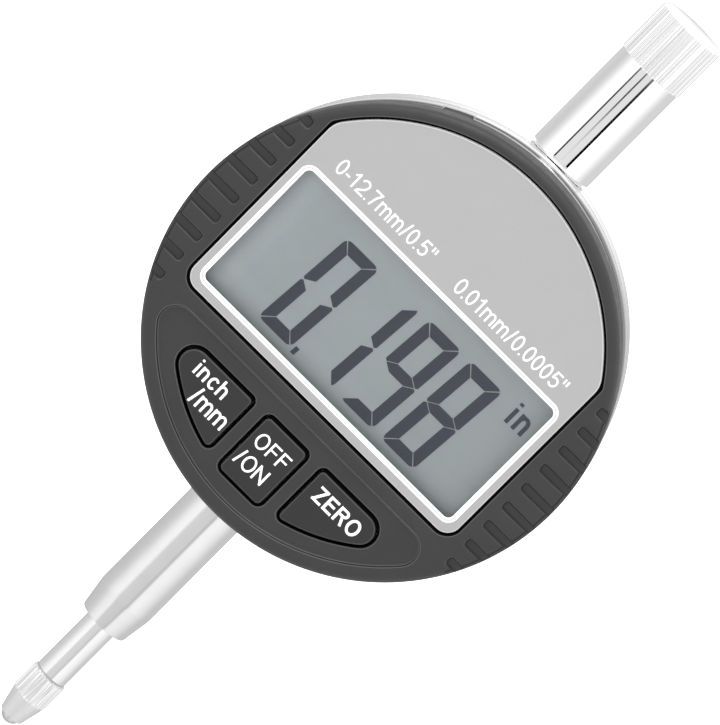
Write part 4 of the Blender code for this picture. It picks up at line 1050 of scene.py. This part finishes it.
def make_spindle():
    riding = ("spindle_group", "satin_steel")
    end, hollow, neck = SPINDLE_END, 1.25, SPINDLE_R - 0.12
    profile = [(0, end + 5), (hollow, end + 5), (hollow, end), (neck, end), (neck, end + 0.13)]
    profile += [(SPINDLE_R, end + 0.18), (SPINDLE_R, SPINDLE_TOP - 0.4), (SPINDLE_R - 0.4, SPINDLE_TOP)]
    profile += [(0, SPINDLE_TOP)]
    # The spindle's end by the contact point gets the darker steel, a painted shadow at the join.
    seam = lambda c, n: "seam" if c.z - DIAL_Z < end + 0.17 else "rod"
    piece("spindle_rod", turned(profile, 96), "rod seam", *riding, "spindle", 30, seam)

    top, cone, deep, teeth, stud = POINT_SHOULDER, POINT_CONE, 0.24, 31, 1.15
    socket = BALL_END + 2 * BALL_R + 0.05
    profile = [(0, POINT_TOP, 0), (stud, POINT_TOP - 0.3, 0), (stud, end, 0), (POINT_R - 0.3, end, 0)]
    profile += [(POINT_R - 0.2, top - 0.02, 0), (POINT_R - 0.04, top - 0.14, deep * 0.5)]
    profile += [(POINT_R, top - 0.3, deep), (POINT_R, cone + 0.25, deep), (POINT_R - 0.04, cone, deep * 0.4)]
    profile += [(POINT_R - 0.1, cone - 0.15, 0), (1.68, POINT_END + 0.05, 0), (1.6, POINT_END, 0)]
    profile += [(1.5, POINT_END, 0), (1.5, socket, 0), (0, socket, 0)]

    def choose(place, normal):
        # The contact point's upward faces at its top get the darker steel, a painted shadow at the join.
        if normal.z > 0.5 and place.z - DIAL_Z > top - 0.2:
            return "seam"
        return "cone" if place.z - DIAL_Z < cone else "point"

    piece("point_body", knurled(profile, teeth), "point cone seam", *riding, "contact_point", 30, choose)
    centre, half_turn = BALL_END + BALL_R, [math.pi * i / 24 for i in range(25)]
    profile = [(BALL_R * math.sin(turn), centre - BALL_R * math.cos(turn)) for turn in half_turn]
    profile[0], profile[-1] = (0, centre - BALL_R), (0, centre + BALL_R)
    ball = turned(profile, 48, cyclic=False)
    piece("point_ball", ball, "carbide", "spindle_group", "carbide", "contact_ball")


def make_spring():
    """The return spring, between its two pins."""
    coil_r, wire_r, hook_r, hook, turns, per_turn, sides = 1.3, 0.18, 1.15, 2.2, 13, 20, 8
    path = []
    for i in range(17):
        angle = math.radians(60 - 240 * i / 16)
        x, height = SPRING_X - hook_r * math.sin(angle), SPRING_LOW - hook_r * math.cos(angle)
        path.append((x, -SPRING_AHEAD, height))
    low, high = SPRING_LOW + hook, SPRING_HIGH - hook
    upper = [(x, y, SPRING_LOW + SPRING_HIGH - z) for x, y, z in path[::-1]]
    for i in range(turns * per_turn + 1):
        angle = 2 * math.pi * i / per_turn
        height = low + (high - low) * i / (turns * per_turn)
        path.append((SPRING_X + coil_r * math.cos(angle), -SPRING_AHEAD + coil_r * math.sin(angle), height))
    path += upper
    rings = []
    for i, here in enumerate(path):
        along = (Vector(path[min(i + 1, len(path) - 1)]) - Vector(path[max(i - 1, 0)])).normalized()
        side = along.cross(Vector((0.3, 0.9, 0.1))).normalized()
        up = along.cross(side)
        ring = []
        for angle in (2 * math.pi * j / sides for j in range(sides)):
            ring.append(on_axis(*(Vector(here) + wire_r * (math.cos(angle) * side + math.sin(angle) * up))))
        rings.append(ring)
    spring = piece("return_coil", loft(rings), "spring", None, "spring_steel", "return_spring", 60)
    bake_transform(spring)


# ---------------------------------------------------------------- the CAD nodes that stay
def dress_nodes():
    screws = "board_screw_left board_screw_right rail_screw_upper rail_screw_lower"
    looks = {
        "white": "lcd_frame battery_holder",
        "zebra": "zebra_strip_upper zebra_strip_lower",
        "board": "main_board",
        "resin": "board_chip",
        "screws": screws + " spring_anchor carrier_screw guide_pin spring_hook_pin",
        "gold": "port_terminal battery_contact_minus battery_contact_plus",
        "silicone": "keypad_mat",
        "steel": "guide_rail battery_cell",
        "bronze": "lower_bush scale_carrier",
        "nylon": "stop_washer",
        "scale": "scale_strip",
    }
    for look, nodes in looks.items():
        for node in nodes.split():
            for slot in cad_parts[node].material_slots:
                slot.link = "OBJECT"
                slot.material = LOOKS[look]


# ---------------------------------------------------------------- floor, light and camera
def make_floor():
    """A pale floor just under the spindle's full reach."""
    reach, drop = 4.0, 0.0075
    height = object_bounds()[0][2] - drop
    mesh = bpy.data.meshes.new("floor")
    square = [(-reach, -reach), (reach, -reach), (reach, reach), (-reach, reach)]
    mesh.from_pydata([(x, y, height) for x, y in square], [], [(0, 1, 2, 3)])
    floor = linked("floor", mesh)
    look = Look("pale_floor", roughness=0.9)
    look.shader.inputs["Emission Color"].default_value = (1, 1, 1, 1)
    look.shader.inputs["Emission Strength"].default_value = 0.75
    look.vary("Base Color", look.noise(6), 0.86, 0.9)
    mesh.materials.append(look.material)
    floor.visible_glossy = False


def make_world():
    """A white studio. Polished pieces see a greyer patch ahead, dark cards beside it and a greyer back."""
    world = bpy.data.worlds.new("studio")
    bpy.context.scene.world = world
    world.use_nodes = True
    sky = Wiring(world.node_tree)
    sky.tree.nodes.clear()

    def by_angle(angle, reach, stops):
        """A shade by an angle in degrees, which runs from -reach to reach."""
        places = [((place + reach) / (2 * reach), shade) for place, shade in stops]
        return sky.ramp(sky.spread(angle, -reach, reach), *places)

    def fade(shade, amount):
        """1 where amount is 0, shade where amount is 1."""
        return sky.maths("SUBTRACT", 1.0, sky.maths("MULTIPLY", amount, sky.maths("SUBTRACT", 1.0, shade)))

    split = sky.node("ShaderNodeSeparateXYZ")
    east, north, up = sky.feed(split, sky.node("ShaderNodeTexCoord").outputs["Generated"]).outputs
    degrees = 180 / math.pi
    azimuth = sky.maths("MULTIPLY", sky.maths("ARCTAN2", east, sky.maths("MULTIPLY", north, -1)), degrees)
    rise = sky.maths("MULTIPLY", sky.maths("ARCSINE", up), degrees)

    level = [(-180, 0.76), (-141, 0.85), (-125, 0.82), (-113, 0.795), (-102, 0.8), (-93, 0.875), (-84, 0.98)]
    level += [(-76, 1.135), (-68, 1.28), (-60, 1.42), (-52, 1.5), (-33, 1.5), (-29, 1.2), (-27, 1.0)]
    level += [(26, 1.0), (29, 1.5), (60, 1.5), (70, 1.4), (80, 1.25), (88, 1.125), (97, 0.99), (107, 0.87)]
    level += [(119, 0.85), (132, 0.87), (180, 0.76)]
    down = [(-180, 0.7), (-155, 0.68), (-132, 0.737), (-105, 0.77), (-94, 0.81), (-84, 0.853), (-75, 0.94)]
    down += [(-66, 1.04), (-58, 1.12), (-50, 1.17), (-36, 1.24), (-28, 1.24), (-23, 0.84), (-13, 0.87)]
    down += [(-6, 0.84), (8, 0.83), (18, 0.8), (21, 0.62), (25, 0.62), (28, 1.22), (52, 1.2), (60, 1.162)]
    down += [(69, 1.117), (78, 1.06), (87, 1.0), (97, 0.892), (108, 0.8), (122, 0.754), (138, 0.77)]
    down += [(180, 0.7)]
    high = [(-180, 1.35), (-140, 1.25), (-60, 1.4), (60, 1.4), (140, 1.25), (180, 1.35)]
    light = by_angle(azimuth, 180, level)
    for stops, share in (
        (down, by_angle(rise, 90, [(-90, 1), (-12.2, 1), (-10.2, 0), (90, 0)])),
        (high, by_angle(rise, 90, [(-90, 0), (1, 0), (7, 1), (90, 1)])),
    ):
        kept = sky.maths("MULTIPLY", light, sky.maths("SUBTRACT", 1.0, share))
        light = sky.maths("ADD", kept, sky.maths("MULTIPLY", by_angle(azimuth, 180, stops), share))

    cards = [(-45, 1), (-30.0, 1), (-29.8, 0.03), (-24.9, 0.03), (-24.7, 1)]
    cards += [(21.2, 1), (21.4, 0), (29.4, 0), (29.6, 1), (45, 1)]
    beside = [(-45, 0), (-12.5, 0), (-10.0, 1), (-7.3, 1), (-7.1, 0), (45, 0)]
    line = [(-45, 1), (-4.3, 1), (-4.0, 0), (0.8, 0), (1.1, 1), (45, 1)]
    above = [(-45, 0), (-8.3, 0), (-7.7, 1), (-7.3, 1), (-7.1, 0), (45, 0)]
    for shades, shares in ((cards, beside), (line, above)):
        share = by_angle(rise, 45, shares)
        light = sky.maths("MULTIPLY", light, fade(by_angle(azimuth, 45, shades), share))

    seen = sky.node("ShaderNodeBackground")
    sky.tree.links.new(light, seen.inputs["Strength"])
    plain = sky.node("ShaderNodeBackground", Color=(1, 1, 1, 1))
    mirrored = sky.node("ShaderNodeLightPath").outputs["Is Glossy Ray"]
    sky.show(sky.node("ShaderNodeOutputWorld"), mirrored, plain, seen)


LIGHT_PLACE, LIGHT_AIM, LIGHT_SIDE, LIGHT_POWER = (-0.25, -0.35, 0.75), (0, 0, 0.03), 0.6, 3.0


def make_light():
    data = bpy.data.lights.new("top_light", "AREA")
    data.shape = "RECTANGLE"
    data.size = data.size_y = LIGHT_SIDE
    data.energy = LIGHT_POWER
    light = linked("top_light", data)
    light.location = LIGHT_PLACE
    light.rotation_euler = (Vector(LIGHT_AIM) - Vector(LIGHT_PLACE)).to_track_quat("-Z", "Y").to_euler()
    light.visible_camera = False


CAMERA_RISE, CAMERA_AWAY, CAMERA_ROLL = 11.1, 0.76, 44.82
CAMERA_LENS, CAMERA_SENSOR = 307.7, 36
CAMERA_X, CAMERA_Z = -0.08, -6.41  # where it looks, in mm from the dial's centre


def make_camera():
    data = bpy.data.cameras.new("camera")
    data.lens, data.sensor_width = CAMERA_LENS, CAMERA_SENSOR
    data.clip_start, data.clip_end = 0.05, 20
    camera = linked("camera", data)
    rise = math.radians(CAMERA_RISE)
    target = Vector(on_axis(CAMERA_X, 0, CAMERA_Z)) * MM
    place = target + CAMERA_AWAY * Vector((0, -math.cos(rise), math.sin(rise)))
    look = (target - place).to_track_quat("-Z", "Y").to_matrix().to_4x4()
    roll = Matrix.Rotation(math.radians(CAMERA_ROLL), 4, "Z")
    camera.matrix_world = Matrix.Translation(place) @ look @ roll
    bpy.context.scene.camera = camera


def main():
    make_bezel()
    make_plate()
    make_display()
    make_digits()
    make_lettering()
    make_keys()
    make_case()
    make_port_cover()
    make_back()
    for i, place in enumerate(SCREW_PLACES, 1):
        make_screw(f"cover_screw_{i}", f"case_screw_{i}", *place)
    make_battery_cover()
    make_stem()
    make_tube()
    make_cap()
    make_spindle()
    make_spring()
    dress_nodes()
    make_floor()
    make_world()
    make_light()
    make_camera()
    bpy.context.scene.view_settings.view_transform = "Standard"


main()
